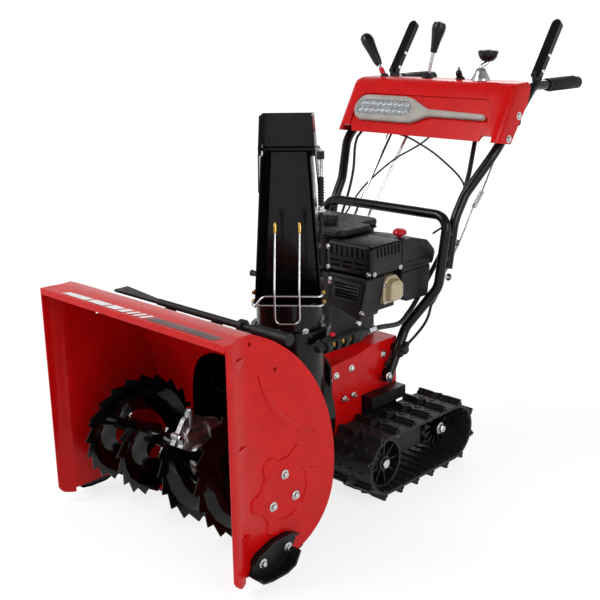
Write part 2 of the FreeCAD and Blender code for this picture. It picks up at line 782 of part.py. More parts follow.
def chute_worm_box():
    """The worm drive beside the chute ring, an eight-sided case lying front to back."""
    body = new_body("chute_worm_box", S.chute_offset + S.chute_bore + 20.0, 350.0, 420.0)
    case = sketch_on(body, "XZ_Plane", "CaseOutline")
    outline(case, [
        (0.0, -8.0), (8.0, -18.0), (26.0, -18.0), (36.0, -8.0), (36.0, 10.0), (27.0, 20.0),
        (9.0, 20.0), (0.0, 11.0),
    ])
    swept(body, "Pad", "Case", case, as_size(135.0), True)
    nose = sketch_on(body, "XZ_Plane", "CaseNose", -135.0)
    disc(nose, 18.0, 0.0, 13.0)
    swept(body, "Pad", "CaseNosePad", nose, as_size(36.0), True)


def flex_shaft():
    x = num(S.chute_offset + S.chute_bore) + 38.0
    points = [vec(x, 521.0, 420.0), vec(x, 560.0, 420.0), vec(x - 14.0, 660.0, 402.0),
              vec(x - 54.0, 765.0, 420.0), vec(x - 52.0, 852.0, 514.0), vec(x - 46.0, 925.0, 610.0),
              vec(x - 50.0, 980.0, 720.0), vec(130.0, num(foot_y) + 390.0, 860.0),
              vec(130.0, num(foot_y) + 390.0, num(S.foot_height) + 718.0)]
    solid("flex_shaft", tube(points, [150.0, 150.0, 90.0, 200.0, 160.0, 160.0, 100.0], 6.0))


def clean_out_tool():
    """The snow clearing stick carried on the housing roof: blade, shaft and handle."""
    y, z = 206.0, num(roof_z) - 46.0
    reach = num(S.housing_width) / 2 - 10.0
    shaft = Part.makeCylinder(8.0, reach * 1.35, vec(-reach * 0.5, y, z), X)
    blade = slab([vec(-reach, y - 20.0, z + 8.0), vec(-reach * 0.5, y - 8.0, z + 3.0),
                  vec(-reach * 0.5, y + 8.0, z + 3.0), vec(-reach, y + 20.0, z + 8.0)],
                 FreeCAD.Vector(0, 0, -6.0))
    handle = Part.makeCylinder(13.0, reach * 0.35, vec(reach * 0.6, y, z), X)
    collar = Part.makeCylinder(15.0, 12.0, vec(reach * 0.45, y, z), X)
    solid("clean_out_tool", shaft.fuse([blade, handle, collar]))


def tool_clips():
    """Two stands that carry the stick above the curved back of the housing."""
    body = new_body("tool_clips")
    for x, name in ((-120.0, "Right"), (40.0, "Left")):
        stand = sketch_on(body, "YZ_Plane", "Stand" + name, x)
        outline(stand, [(190.0, roof_z - 110.0), (222.0, roof_z - 110.0), (216.0, roof_z - 54.0),
                        (196.0, roof_z - 54.0)])
        swept(body, "Pad", "StandPad" + name, stand, as_size(22.0))
    trim = sketch_on(body, "YZ_Plane", "StandTrim", -S.housing_width / 2)
    housing_profile(trim, as_size(0.0), as_size(0.0))
    swept(body, "Pocket", "StandTrimCut", trim, S.housing_width, True)


# ---------------------------------------------------------------- chassis and tracks

def chassis():
    body = new_body("chassis")
    half = S.chassis_width / 2
    side = sketch_on(body, "YZ_Plane", "ChassisSide", -half)
    outline(side, [
        (chassis_front, S.chassis_bottom), (chassis_front, S.chassis_front_top),
        (chassis_front + 128.0, S.chassis_front_top + 8.0),
        (chassis_front + 182.0, S.deck_height - 4.0), (chassis_rear, S.deck_height - 4.0),
        (chassis_rear, S.chassis_bottom),
    ])
    swept(body, "Pad", "ChassisBox", side, S.chassis_width)
    hollow = sketch_on(body, "XY_Plane", "ChassisHollow", S.chassis_bottom - 1.0)
    outline(hollow, [
        (-half + S.sheet, chassis_front + S.sheet), (half - S.sheet, chassis_front + S.sheet),
        (half - S.sheet, chassis_rear - S.sheet), (-half + S.sheet, chassis_rear - S.sheet),
    ])
    swept(body, "Pocket", "ChassisHollowCut", hollow,
          S.chassis_front_top - S.chassis_bottom - S.sheet, True)
    tab = sketch_on(body, "XY_Plane", "LinkageTab", S.deck_height - 4.0 - S.sheet)
    outline(tab, [(-127.0, chassis_rear - S.sheet), (-40.0, chassis_rear - S.sheet),
                  (-60.0, chassis_rear + 28.0), (-127.0, chassis_rear + 28.0)])
    swept(body, "Pad", "LinkageTabPad", tab, S.sheet)
    shaft = sketch_on(body, "XZ_Plane", "ShaftHole", -chassis_front + 1.0)
    disc(shaft, 0.0, S.impeller_axis_height, S.impeller_shaft_radius + 6.0)
    swept(body, "Pocket", "ShaftHoleCut", shaft, S.sheet + 2.0)
    axle = sketch_on(body, "YZ_Plane", "AxleHole", -half - 1.0)
    disc(axle, front_axle_y, axle_z, S.axle_radius)
    swept(body, "Pocket", "AxleHoleCut", axle, S.chassis_width + 2.0, True)


def front_mount():
    """The plate that joins the blower head to the chassis."""
    body = new_body("front_mount")
    plate = sketch_on(body, "XZ_Plane", "MountOutline", -S.drum_back)
    wide = S.drum_radius - 16.0
    low = S.chassis_width / 2
    shoulder = S.track_height + 10.0
    outline(plate, [
        (-low, S.chassis_bottom), (low, S.chassis_bottom), (low, shoulder), (wide, shoulder + 20.0),
        (wide, 330.0), (wide - 36.0, 372.0), (-wide + 36.0, 372.0), (-wide, 330.0),
        (-wide, shoulder + 20.0), (-low, shoulder),
    ])
    swept(body, "Pad", "MountPlate", plate, S.mount_plate, True)
    hole = sketch_on(body, "XZ_Plane", "MountHole", -S.drum_back + 1.0)
    disc(hole, 0.0, S.impeller_axis_height, S.impeller_shaft_radius + 6.0)
    swept(body, "Pocket", "MountHoleCut", hole, S.mount_plate + 2.0)


def loop_place(distance, radius):
    """Point, outward and forward directions at a distance along the loop of that radius."""
    straight = num(S.track_wheelbase)
    bend = math.pi * radius
    distance %= 2 * (straight + bend)
    low_y, high_y, z = num(front_axle_y), num(rear_axle_y), num(axle_z)
    if distance < straight:
        return vec(0, low_y + distance, z + radius), Z, Y
    distance -= straight
    if distance < bend:
        turn = distance / radius
        out = FreeCAD.Vector(0, math.sin(turn), math.cos(turn))
        return vec(0, high_y, z) + out * radius, out, FreeCAD.Vector(0, out.z, -out.y)
    distance -= bend
    if distance < straight:
        return vec(0, high_y - distance, z - radius), -Z, -Y
    distance -= straight
    turn = distance / radius
    out = FreeCAD.Vector(0, -math.sin(turn), -math.cos(turn))
    return vec(0, low_y, z) + out * radius, out, FreeCAD.Vector(0, out.z, -out.y)


def stadium(radius, x, width):
    low_y, high_y, z = num(front_axle_y), num(rear_axle_y), num(axle_z)
    ends = [Part.makeCylinder(radius, width, vec(x, y, z), X) for y in (low_y, high_y)]
    middle = Part.makeBox(width, high_y - low_y, 2 * radius, vec(x, low_y, z - radius))
    return ends[0].fuse([ends[1], middle]).removeSplitter()


def track(side, name):
    """A rubber track: a belt with zigzag lugs outside and drive bars inside."""
    low, high = (num(v) for v in span(side, track_inner, track_outer))
    width = high - low
    outer = num(axle_z - S.lug_height)
    inner = num(wheel_radius)
    belt = stadium(outer, low, width).cut(stadium(inner, low - 1.0, width + 2.0))
    count = 16
    pitch = 2 * (num(S.track_wheelbase) + math.pi * outer) / count
    height = num(S.lug_height)
    lugs = []
    for i in range(count):
        base, out, ahead = loop_place((i + 0.5) * pitch, outer)
        foot = base - out * 1.5
        outline_points = []
        for share, shift in ((0.0, -9.0), (0.36, -9.0), (0.5, 3.0), (0.64, -9.0), (1.0, -9.0),
                             (1.0, 7.0), (0.64, 7.0), (0.5, 17.0), (0.36, 7.0), (0.0, 7.0)):
            outline_points.append(foot + X * (low + width * share) + ahead * (shift - 3.0))
        lugs.append(slab(outline_points, out * (height + 1.5)))
    solid("track_" + name, belt.fuse(lugs))


def wheel(label, side, y, spokes, half_width):
    """A track wheel: rim, hub and radial spokes."""
    centre = num(track_inner + S.track_width / 2) * side
    r = num(wheel_radius) - 0.4
    start = vec(centre - half_width, y, axle_z)
    rim = Part.makeCylinder(r, 2 * half_width, start, X).cut(
        Part.makeCylinder(r - 9.0, 2 * half_width, start, X))
    hub = Part.makeCylinder(24.0, 2 * half_width, start, X)
    pieces = []
    for i in range(spokes):
        turn = 2 * math.pi * i / spokes
        along = FreeCAD.Vector(0, math.cos(turn), math.sin(turn))
        across = FreeCAD.Vector(0, -math.sin(turn), math.cos(turn)) * 4.0
        centre_point = vec(centre - half_width + 4.0, y, axle_z)
        corners = [centre_point + along * 20.0 - across, centre_point + along * (r - 6.0) - across,
                   centre_point + along * (r - 6.0) + across, centre_point + along * 20.0 + across]
        pieces.append(slab(corners, X * (2 * half_width - 8.0)))
    bore = Part.makeCylinder(num(S.axle_radius), 2 * half_width, start, X)
    solid(label, rim.fuse([hub] + pieces).cut(bore))


def track_frame(side, name):
    """The side beam inside a track that carries both axles."""
    inner = S.chassis_width / 2
    plate = block("BeamPlate", span(side, inner, inner + 6.0),
                  (front_axle_y - 30.0, rear_axle_y + 28.0), (axle_z - 22.0, axle_z + 30.0))
    beam = block("Beam", span(side, inner + 6.0, track_outer - 55.0),
                 (front_axle_y + wheel_radius + 8.0, rear_axle_y - wheel_radius - 8.0),
                 (axle_z - 20.0, axle_z + 28.0))
    fender = block("Fender", span(side, inner, foot_x + S.tube_radius + 6.0),
                   (chassis_front + 140.0, chassis_rear - 5.0),
                   (S.track_height + 8.0, S.track_height + 38.0))
    riser = block("FenderRiser", span(side, inner, inner + 6.0),
                  (chassis_front + 140.0, chassis_rear - 5.0),
                  (axle_z + 20.0, S.track_height + 20.0))
    holes = [bar("BeamBore", (-track_outer if side < 0 else inner - 1.0, y, axle_z), X,
                 S.axle_radius, track_outer) for y in (front_axle_y, rear_axle_y)]
    keep("track_frame_" + name, less("track_frame_" + name, joined("BeamParts", [plate, beam, fender, riser]),
                                     joined("BeamBores", holes)))


def axles():
    for label, y in (("front_axle", front_axle_y), ("rear_axle", rear_axle_y)):
        reach = track_outer - 44.0
        keep(label, bar(label, (-reach, y, axle_z), X, S.axle_radius, reach * 2))


# ---------------------------------------------------------------- engine

def engine_block():
    base = S.deck_height - 4.0
    y = engine_front
    parts = [
        block("Crankcase", (-120.0, 50.0), (y + 8.0, y + 178.0), (base, base + 185.0)),
        block("Cylinder", (50.0, 150.0), (y + 75.0, y + 135.0), (base + 95.0, base + 180.0)),
    ]
    keep("engine_block", joined("engine_block", parts))


def valve_cover():
    y = engine_front
    body = new_body("valve_cover", 150.0, y, S.deck_height)
    cover = sketch_on(body, "YZ_Plane", "CoverOutline")
    outline(cover, [
        (72.0, 108.0), (138.0, 108.0), (138.0, 150.0), (116.0, 176.0), (94.0, 176.0),
        (72.0, 150.0),
    ])
    swept(body, "Pad", "Cover", cover, as_size(40.0))


def soft_box(label, x, y, z, edge):
    """A moulded cover: a block with rounded upright and top edges."""
    body = new_body(label, x[0], y[0], z[0])
    base = sketch_on(body, "XY_Plane", "Base")
    long, deep = as_size(x[1]) - x[0], as_size(y[1]) - y[0]
    outline(base, [(0.0, 0.0), (long, 0.0), (long, deep), (0.0, deep)])
    tall = as_size(z[1]) - z[0]
    swept(body, "Pad", "Block", base, tall)
    top = tall.value

    def wanted(box_edge):
        if runs_along(box_edge, "z"):
            return True
        return box_edge.BoundBox.ZMin > top - 0.01

    rounded(body, "SoftEdges", edge, wanted)
    return body


def engine_covers():
    y = engine_front
    base = S.deck_height
    soft_box("exhaust_shroud", (50.0, S.head_side), (y + 2.0, y + 70.0), (base + 92.0, base + 190.0), 8.0)
    soft_box("muffler_guard", (50.0, S.head_side + 2.0), (y, y + 112.0), (base + 190.0, base + 267.0), 18.0)
    soft_box("air_box", (50.0, S.head_side - 18.0), (y + 139.0, y + 232.0), (base + 106.0, base + 268.0),
             12.0)
    soft_box("fuel_tank", (-165.0, 48.0), (y + 20.0, y + 200.0), (base + 181.0, base + 280.0), 20.0)
    keep("fuel_cap", bar("fuel_cap", (-40.0, y + 105.0, base + 280.0), Z, 33.0, 22.0))
    keep("choke_knob", bar("choke_knob", (140.0, y + 190.0, base + 268.0), Z, 12.0, 18.0))


def recoil_starter():
    y = engine_front
    keep("recoil_starter", bar("recoil_starter", (-175.0, y + 93.0, S.deck_height + 80.0), X,
                               80.0, 55.0))
    grip_parts = joined("GripParts", [
        bar("GripStem", (-158.0, y - 32.0, S.deck_height + 150.0), Y, 6.0, 90.0),
        bar("GripBar", (-185.0, y - 36.0, S.deck_height + 150.0), X, 8.0, 54.0),
    ])
    keep("starter_grip", less("starter_grip", grip_parts, nodes["recoil_starter"]))


# ---------------------------------------------------------------- handles and controls

def lower_tube():
    """Two legs on the chassis sides, spread upwards and joined by a cross bar."""
    y, z = num(foot_y), num(S.foot_height)
    foot, wide = num(foot_x), num(crossbar_x)
    half_route = [(foot, 0.0, 0.0), (foot, 74.0, 127.0), (wide, 126.0, 232.0), (wide, 160.0, 407.0)]
    points = [vec(x, y + dy, z + dz) for x, dy, dz in half_route]
    points += [vec(-x, y + dy, z + dz) for x, dy, dz in reversed(half_route)]
    return tube(points, [60.0, 60.0, 38.0, 38.0, 60.0, 60.0], S.tube_radius)


def lower_handle():
    """The lower tube with the spacers that stand it off the chassis."""
    y, z, foot = num(foot_y), num(S.foot_height), num(foot_x)
    pads = []
    for side, _ in SIDES:
        low = num(S.chassis_width / 2) if side > 0 else -num(foot_x)
        for dy, dz in ((12.0, 20.0), (46.0, 79.0)):
            pads.append(Part.makeCylinder(11.0, foot - num(S.chassis_width / 2),
                                          vec(low, y + dy, z + dz), X))
    solid("lower_handle", lower_tube().fuse(pads))


def handle_knobs():
    """Wing knobs that clamp the lower handle to the chassis."""
    knobs = []
    outer = foot_x + S.tube_radius
    for side, _ in SIDES:
        start = outer if side > 0 else -outer - 24.0
        knobs.append(bar("Knob", (start, foot_y + 46.0, S.foot_height + 79.0), X, 17.0, 24.0))
    keep("handle_knobs", joined("handle_knobs", knobs))


def upper_tube(side):
    """The operator's tube: behind the lower handle, out past the console, back as the grip."""
    y, z = num(foot_y), num(S.foot_height)
    low, wide = num(crossbar_x), num(grip_x)
    behind = 2 * num(S.tube_radius) + num(S.handle_spacer)
    route_points = [(low, 134.0 + behind, 274.0), (low, 158.0 + behind, 394.0),
                    (low + 3.0, 225.0, 453.0), (wide + 6.0, 292.0, 554.0), (wide, 467.0, 707.0),
                    (wide + 3.0, num(S.handle_reach) - 4.0, 703.0)]
    points = [vec(x * side, y + dy, z + dz) for x, dy, dz in route_points]
    return tube(points, [120.0, 70.0, 110.0, 45.0], S.tube_radius)


def upper_handle(side, name):
    """The upper tube with two spacers to the lower handle and two to the console's end."""
    y, z, low = num(foot_y), num(S.foot_height), num(crossbar_x)
    reach = num(2 * S.tube_radius + S.handle_spacer)
    spacers = [Part.makeCylinder(9.0, reach, vec(low * side, y + dy, z + dz), Y)
               for dy, dz in ((141.0, 301.0), (152.0, 361.0))]
    spacers = spacers[0].fuse(spacers[1]).cut(lower_tube())
    wall = num(S.console_width / 2 - S.sheet)
    start = num(grip_x) + 4.0
    ends = [Part.makeCylinder(9.0, wall - start, vec(start * side, y + dy, z + dz), X * side)
            for dy, dz in ((336.0, 592.5), (371.0, 623.0))]
    solid("upper_handle_" + name, upper_tube(side).fuse([spacers] + ends))


def grip(side, name):
    x = num(grip_x) * side
    start = vec(x, foot_y + 467.0, S.foot_height + 707.0)
    end = vec(x + side * 3.0, foot_y + S.handle_reach - 4.0, S.foot_height + 703.0)
    along = (end - start).normalize()
    length = num(S.grip_length)
    outer = Part.makeCylinder(num(S.grip_radius), length + 4.0, end + along * 4.0, -along)
    core = Part.makeCylinder(num(S.tube_radius), length + 5.0, end, -along)
    solid("grip_" + name, outer.cut(core))


def console():
    """The control console: a folded shell over the handles, open below and behind."""
    lift = S.foot_height + 571.0
    body = new_body("console", 0.0, foot_y, lift)
    half = S.console_width / 2
    rise = as_size(109.0)
    run = rise / tangent(S.console_slope)
    profile = sketch_on(body, "YZ_Plane", "ConsoleOutline", -half)
    outline(profile, [
        (277.0, 5.0), (281.0, 41.0), (281.0 + run, rise + 41.0), (420.0, rise + 41.0),
        (402.0, 92.0), (370.0, 2.0), (320.0, 0.0),
    ])
    swept(body, "Pad", "ConsoleShell", profile, S.console_width)
    hollow = sketch_on(body, "YZ_Plane", "ConsoleHollow", -half + S.sheet)
    wall = S.sheet
    outline(hollow, [
        (277.0 + wall, -5.0), (281.0 + wall, 40.0), (282.0 + run + wall, rise + 41.0 - wall),
        (440.0, rise + 41.0 - wall), (440.0, -5.0),
    ])
    swept(body, "Pocket", "ConsoleHollowCut", hollow, S.console_width - wall * 2, True)


def on_console_front(label, z_offset):
    """A body drawn in the plane of the console's sloping front."""
    body = doc.addObject("PartDesign::Body", label)
    tilt = FreeCAD.Rotation(X, -30.0)
    body.Placement = FreeCAD.Placement(FreeCAD.Vector(), tilt)
    bind(body, "Placement.Base.y", front + foot_y + 281.0)
    bind(body, "Placement.Base.z", S.foot_height + 571.0 + 41.0)
    return keep(label, body)


def headlight():
    bezel = on_console_front("headlight_bezel", 0.0)
    frame = sketch_on(bezel, "XZ_Plane", "BezelOutline")
    outline(frame, [
        (-172.0, 8.0), (-40.0, 8.0), (40.0, 26.0), (225.0, 26.0), (225.0, 44.0), (60.0, 44.0),
        (-25.0, 72.0), (-172.0, 72.0, 33.0),
    ])
    swept(bezel, "Pad", "Bezel", frame, as_size(9.0))
    lens = on_console_front("headlight_lens", 0.0)
    glass = sketch_on(lens, "XZ_Plane", "LensOutline", 9.0)
    outline(glass, [(-170.0, 17.0), (-45.0, 17.0), (-45.0, 63.0), (-170.0, 63.0, 24.0)])
    swept(lens, "Pad", "Lens", glass, as_size(4.0))


def leaning(points, radii, radius, knob_radius, knob_length):
    """A control lever: a bent rod with a grip on its upper end."""
    rod = tube(points, radii, radius)
    along = (points[-1] - points[-2]).normalize()
    knob = Part.makeCylinder(knob_radius, knob_length, points[-1] - along * 4.0, along)
    return rod.fuse(knob)


def console_controls():
    y = num(foot_y)
    top = num(S.foot_height) + 721.0
    solid("shift_lever", leaning([vec(-45.0, y + 395.0, top), vec(-45.0, y + 395.0, top + 20.0),
                                  vec(-30.0, y + 397.0, top + 60.0)], [30.0], 5.0, 12.0, 96.0))
    solid("deflector_lever", leaning([vec(-200.0, y + 400.0, top), vec(-200.0, y + 400.0, top + 8.0),
                                      vec(-232.0, y + 397.0, top + 50.0)], [8.0], 5.0, 12.0, 60.0))
    crank = tube([vec(130.0, y + 390.0, top), vec(130.0, y + 390.0, top + 22.0),
                  vec(140.0, y + 405.0, top + 34.0), vec(140.0, y + 405.0, top + 60.0)], [8.0, 8.0], 6.0)
    cone = Part.makeCone(22.0, 12.0, 20.0, vec(130.0, y + 390.0, top))
    knob = Part.makeCylinder(25.0, 26.0, vec(140.0, y + 405.0, top + 44.0))
    solid("chute_crank", crank.fuse([cone, knob]))
    solid("throttle_lever", tube([vec(62.0, y + 395.0, top), vec(62.0, y + 395.0, top + 18.0),
                                  vec(62.0, y + 380.0, top + 27.0)], [8.0], 4.0))


def clutch_lever(side, name):
    """A flat paddle standing up from the bend of the handle."""
    x = (num(grip_x) - 4.0) * side
    y, z = num(foot_y), num(S.foot_height)
    base, top = vec(x - 13.0, y + 484.0, z + 726.0), vec(x - 13.0, y + 580.0, z + 862.0)
    along = (top - base).normalize()
    across = FreeCAD.Vector(0, along.z, -along.y) * 9.0
    corners = [base - across, top - across, top + along * 6.0 - across * 0.6,
               top + along * 6.0 + across * 0.6, top + across, base + across]
    pivot = Part.makeBox(12.0, 34.0, 28.0, vec(x - 6.0, y + 474.0, z + 712.0))
    shape = slab(corners, X * 26.0).fuse(pivot).cut(upper_tube(side))
    solid("clutch_lever_" + name, shape)


def shift_rod():
    y = num(foot_y)
    top, bottom = num(S.foot_height) + 718.0, num(S.deck_height) - 4.0
    hitch = num(S.foot_setback) + 16.0
    points = [vec(-45.0, y + 395.0, top), vec(-45.0, y + 395.0, top - 40.0),
              vec(-80.0, y + 190.0, 600.0), vec(-100.0, y + hitch, bottom + 30.0),
              vec(-100.0, y + hitch, bottom)]
    solid("shift_rod", tube(points, [60.0, 400.0, 40.0], 4.0))


def control_cables():
    """The sheathed cables that run from the console to the engine and the chassis."""
    y = num(foot_y)
    top, bottom = num(S.foot_height) + 718.0, num(S.deck_height) - 4.0
    hitch = num(S.foot_setback) + 16.0
    points = [vec(-95.0, y + 380.0, top), vec(-95.0, y + 380.0, top - 40.0),
              vec(-128.0, y + 190.0, 600.0), vec(-120.0, y + hitch, bottom + 50.0),
              vec(-120.0, y + hitch, bottom)]
    solid("control_cables", tube(points, [80.0, 300.0, 80.0], 3.0))


# ---------------------------------------------------------------- build, check and write

auger_housing()
impeller_drum()
scraper_bar()
auger_gearbox()
auger_shaft()
impeller()
chute_base_ring()
chute_body()
deflector()
chute_guard()
deflector_cable_end()
chute_worm_box()
flex_shaft()
clean_out_tool()
tool_clips()
chassis()
front_mount()
axles()
engine_block()
valve_cover()
engine_covers()
recoil_starter()
lower_handle()
handle_knobs()
console()
headlight()
console_controls()
shift_rod()
control_cables()
for side, name in SIDES:
    skid_shoe(side, name)
    auger_flights(side, name)
    track(side, name)
    wheel("idler_" + name, side, front_axle_y, 6, 36.0)
    wheel("sprocket_" + name, side, rear_axle_y, 5, 36.0)
    track_frame(side, name)
    upper_handle(side, name)
    grip(side, name)
    clutch_lever(side, name)

doc.recompute()
failed = [item.Label for item in doc.Objects if {"Invalid", "Error"} & set(item.State)]
for label, thing in nodes.items():
    if thing.Shape.isNull() or not thing.Shape.isValid():
        failed.append(label)
if failed:
    raise RuntimeError("not built: " + ", ".join(sorted(set(failed))))

os.makedirs("parts", exist_ok=True)
for label, thing in nodes.items():
    thing.Shape.exportStep(os.path.join("parts", label + ".step"))
print("%d nodes" % len(nodes))
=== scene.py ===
# %% [markdown]
# # A tracked two-stage snow blower, dressed around its CAD model
# The exact shapes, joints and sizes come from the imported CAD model, which is loaded
# first and never changed. Everything after that is what a paint shop, a moulding shop
# and an assembler add: finishes, bolts, springs, cables, track lugs and stripes.

# %% Load the CAD model and keep its box
import math

import bmesh
import bpy
from mathutils import Matrix, Vector


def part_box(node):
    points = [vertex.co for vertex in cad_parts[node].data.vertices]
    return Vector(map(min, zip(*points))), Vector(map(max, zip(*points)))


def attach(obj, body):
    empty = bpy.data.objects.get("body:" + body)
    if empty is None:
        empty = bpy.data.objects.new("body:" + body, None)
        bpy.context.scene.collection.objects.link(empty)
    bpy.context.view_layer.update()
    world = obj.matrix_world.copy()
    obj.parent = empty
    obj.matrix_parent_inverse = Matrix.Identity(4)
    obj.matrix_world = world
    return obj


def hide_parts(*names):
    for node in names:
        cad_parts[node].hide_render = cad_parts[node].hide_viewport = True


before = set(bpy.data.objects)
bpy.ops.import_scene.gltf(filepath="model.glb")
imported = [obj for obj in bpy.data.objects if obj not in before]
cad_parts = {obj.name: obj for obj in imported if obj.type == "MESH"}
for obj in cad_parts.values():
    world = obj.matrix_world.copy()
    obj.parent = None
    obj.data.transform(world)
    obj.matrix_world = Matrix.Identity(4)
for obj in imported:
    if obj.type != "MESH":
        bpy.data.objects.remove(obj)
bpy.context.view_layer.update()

# %% [markdown]
# ## The camera
# A narrow view from the front left of the machine, a little above the chute.
# It is given as a place, a compass turn, a downward tilt and a small roll, because those
# are easy to picture and to change. No shift and no depth of field are needed.

# %% Camera
CAMERA_PLACE = Vector((1.6380, -1.8332, 1.1250))
CAMERA_YAW = 44.41
CAMERA_DOWN = 15.99
CAMERA_ROLL = -0.99
CAMERA_LENS = 59.89


def add_object(name, data):
    """Make an object of a mesh, a lamp or a camera and put it in the scene."""
    made = bpy.data.objects.new(name, data)
    bpy.context.scene.collection.objects.link(made)
    return made


def add_camera():
    """Make the camera from its yaw, downward tilt and roll, and make it the scene's."""
    data = bpy.data.cameras.new("camera")
    data.lens = CAMERA_LENS
    camera = add_object("camera", data)
    turn = (
        Matrix.Rotation(math.radians(CAMERA_YAW), 4, "Z")
        @ Matrix.Rotation(math.radians(90 - CAMERA_DOWN), 4, "X")
        @ Matrix.Rotation(math.radians(CAMERA_ROLL), 4, "Z")
    )
    camera.matrix_world = Matrix.Translation(CAMERA_PLACE) @ turn
    bpy.context.scene.camera = camera
    return camera


camera = add_camera()
print("camera lens, mm:", camera.data.lens)

# %% [markdown]
# ## Colours and nodes
# Colours are written as sRGB hex values, as a paint chart or a web page gives them, and
# one function turns them into the linear values that the renderer works in. A second
# function adds one shader node with its settings and its links.

# %% Colour and node helpers
def colour(hex_value):
    """Turn an sRGB hex colour into a linear RGBA tuple."""
    channels = [int(hex_value[i:i + 2], 16) / 255 for i in (0, 2, 4)]
    linear = [c / 12.92 if c <= 0.04045 else ((c + 0.055) / 1.055) ** 2.4 for c in channels]
    return (*linear, 1.0)


def node(tree, kind, links=None, **settings):
    """Add one node. Settings are attributes or input values, links are input: output."""
    made = tree.nodes.new("ShaderNode" + kind)
    for name, value in settings.items():
        key = name.replace("_", " ").title() if not hasattr(made, name) else name
        if hasattr(made, name):
            setattr(made, name, value)
        else:
            made.inputs[key].default_value = value
    for name, output in (links or {}).items():
        tree.links.new(output, made.inputs[name])
    return made


def new_material(name):
    """An empty node material with its output node, ready for a shader."""
    material = bpy.data.materials.new(name)
    material.use_nodes = True
    material.node_tree.nodes.clear()
    return material, material.node_tree


print("red enamel, linear:", [round(v, 3) for v in colour("C60B0C")[:3]])

# %% [markdown]
# ## Patterns measured in millimetres
# Every finish has a grain with a real size: orange peel in sprayed enamel is about two
# millimetres across, sand-cast aluminium about one. A noise texture counts features per
# unit of its coordinates, so one helper turns millimetres into that scale. The object
# coordinates are used because they stay on the piece when a joint turns.

# %% Noise in millimetres
NOISE_LOW, NOISE_HIGH = 0.35, 0.65


def noise(tree, size_mm, detail=2.0):
    """A noise texture whose features are about size_mm across."""
    place = node(tree, "TexCoord")
    spread = node(tree, "Mapping", {"Vector": place.outputs["Object"]},
                  Scale=[1000 / size_mm] * 3)
    return node(tree, "TexNoise", {"Vector": spread.outputs["Vector"]},
                Scale=1.0, Detail=detail).outputs["Fac"]


def drift(tree, size_mm, low, high, detail=2.0):
    """A value that drifts between low and high in patches about size_mm across."""
    return node(tree, "MapRange", {"Value": noise(tree, size_mm, detail)},
                From_Min=NOISE_LOW, From_Max=NOISE_HIGH,
                To_Min=low, To_Max=high).outputs["Result"]


print("features of a 3 mm grain in a metre:", round(1000 / 3))

# %% [markdown]
# ## Two tones and one shader
# Hardly any finish is one even colour. Two close tones that drift into each other are
# enough to show that, and cheaper than painting a map by hand. A Mix node keeps sockets
# for numbers, vectors and colours in one list, so the colour ones are named by number.

# %% Two tones, edges and the finished surface
MIX_FIRST, MIX_SECOND, MIX_RESULT = 6, 7, 2


def two_tone(tree, size_mm, first, second):
    """Two hex colours that drift into each other in patches about size_mm across."""
    mix = node(tree, "Mix", {"Factor": drift(tree, size_mm, 0.0, 1.0)}, data_type="RGBA")
    mix.inputs[MIX_FIRST].default_value = colour(first)
    mix.inputs[MIX_SECOND].default_value = colour(second)
    return mix.outputs[MIX_RESULT]


def edge_mask(tree, radius_mm):
    """1 on sharp edges and 0 on flat faces: where the rounded normal leaves the true one."""
    rounded = node(tree, "Bevel", Radius=radius_mm / 1000)
    true = node(tree, "NewGeometry")
    same = node(tree, "VectorMath", {0: rounded.outputs["Normal"], 1: true.outputs["Normal"]},
                operation="DOT_PRODUCT")
    return node(tree, "MapRange", {"Value": same.outputs["Value"]},
                From_Min=0.75, From_Max=0.995, To_Min=1.0, To_Max=0.0).outputs["Result"]


def surface(tree, base, roughness, bumps=(), round_mm=0.0, **constants):
    """Finish a material: a Principled shader with stacked bumps, given as (height, mm)."""
    shader = node(tree, "BsdfPrincipled")
    for name, value in (("Base Color", base), ("Roughness", roughness)):
        if isinstance(value, (int, float)):
            shader.inputs[name].default_value = value
        elif isinstance(value, str):
            shader.inputs[name].default_value = colour(value)
        elif value is not None:
            tree.links.new(value, shader.inputs[name])
    for name, value in constants.items():
        shader.inputs[name.replace("_", " ")].default_value = value
    normal = None
    if round_mm:
        normal = node(tree, "Bevel", Radius=round_mm / 1000).outputs["Normal"]
    for height, depth_mm in bumps:
        bump = node(tree, "Bump", {"Height": height}, Strength=1.0, Distance=depth_mm / 1000)
        if normal:
            tree.links.new(normal, bump.inputs["Normal"])
        normal = bump.outputs["Normal"]
    if normal:
        tree.links.new(normal, shader.inputs["Normal"])
    node(tree, "OutputMaterial", {"Surface": shader.outputs["BSDF"]})


print("colour sockets of a Mix node:", MIX_FIRST, MIX_SECOND, MIX_RESULT)

# %% [markdown]
# ## Painted sheet metal
# The housing, chassis and console are pressed steel sheet, sprayed and baked. Sprayed
# enamel settles into a very shallow orange peel, so a lamp's reflection in it wavers. The
# film is never quite even, so its tone drifts over a hand's width. A glossy colour alone
# would look like plastic; a clear coat over it gives the wet look of enamel.

# %% Red enamel, gloss black enamel, satin black enamel
ORANGE_PEEL_MM = 3.0
PAINT_CLOUD_MM = 60.0
PAINT_EDGE_MM = 1.2


def enamel(name, base, deep, low_rough, high_rough, coat, peel_depth_mm, specular):
    """Sprayed and baked enamel: a soft cloud of tone, orange peel and a clear coat."""
    material, tree = new_material(name)
    tone = two_tone(tree, PAINT_CLOUD_MM, base, deep)
    rough = drift(tree, PAINT_CLOUD_MM / 3, low_rough, high_rough)
    peel = noise(tree, ORANGE_PEEL_MM, 1.0)
    surface(tree, tone, rough, [(peel, peel_depth_mm)], PAINT_EDGE_MM,
            Coat_Weight=coat, Coat_Roughness=0.05, Specular_IOR_Level=specular)
    return material


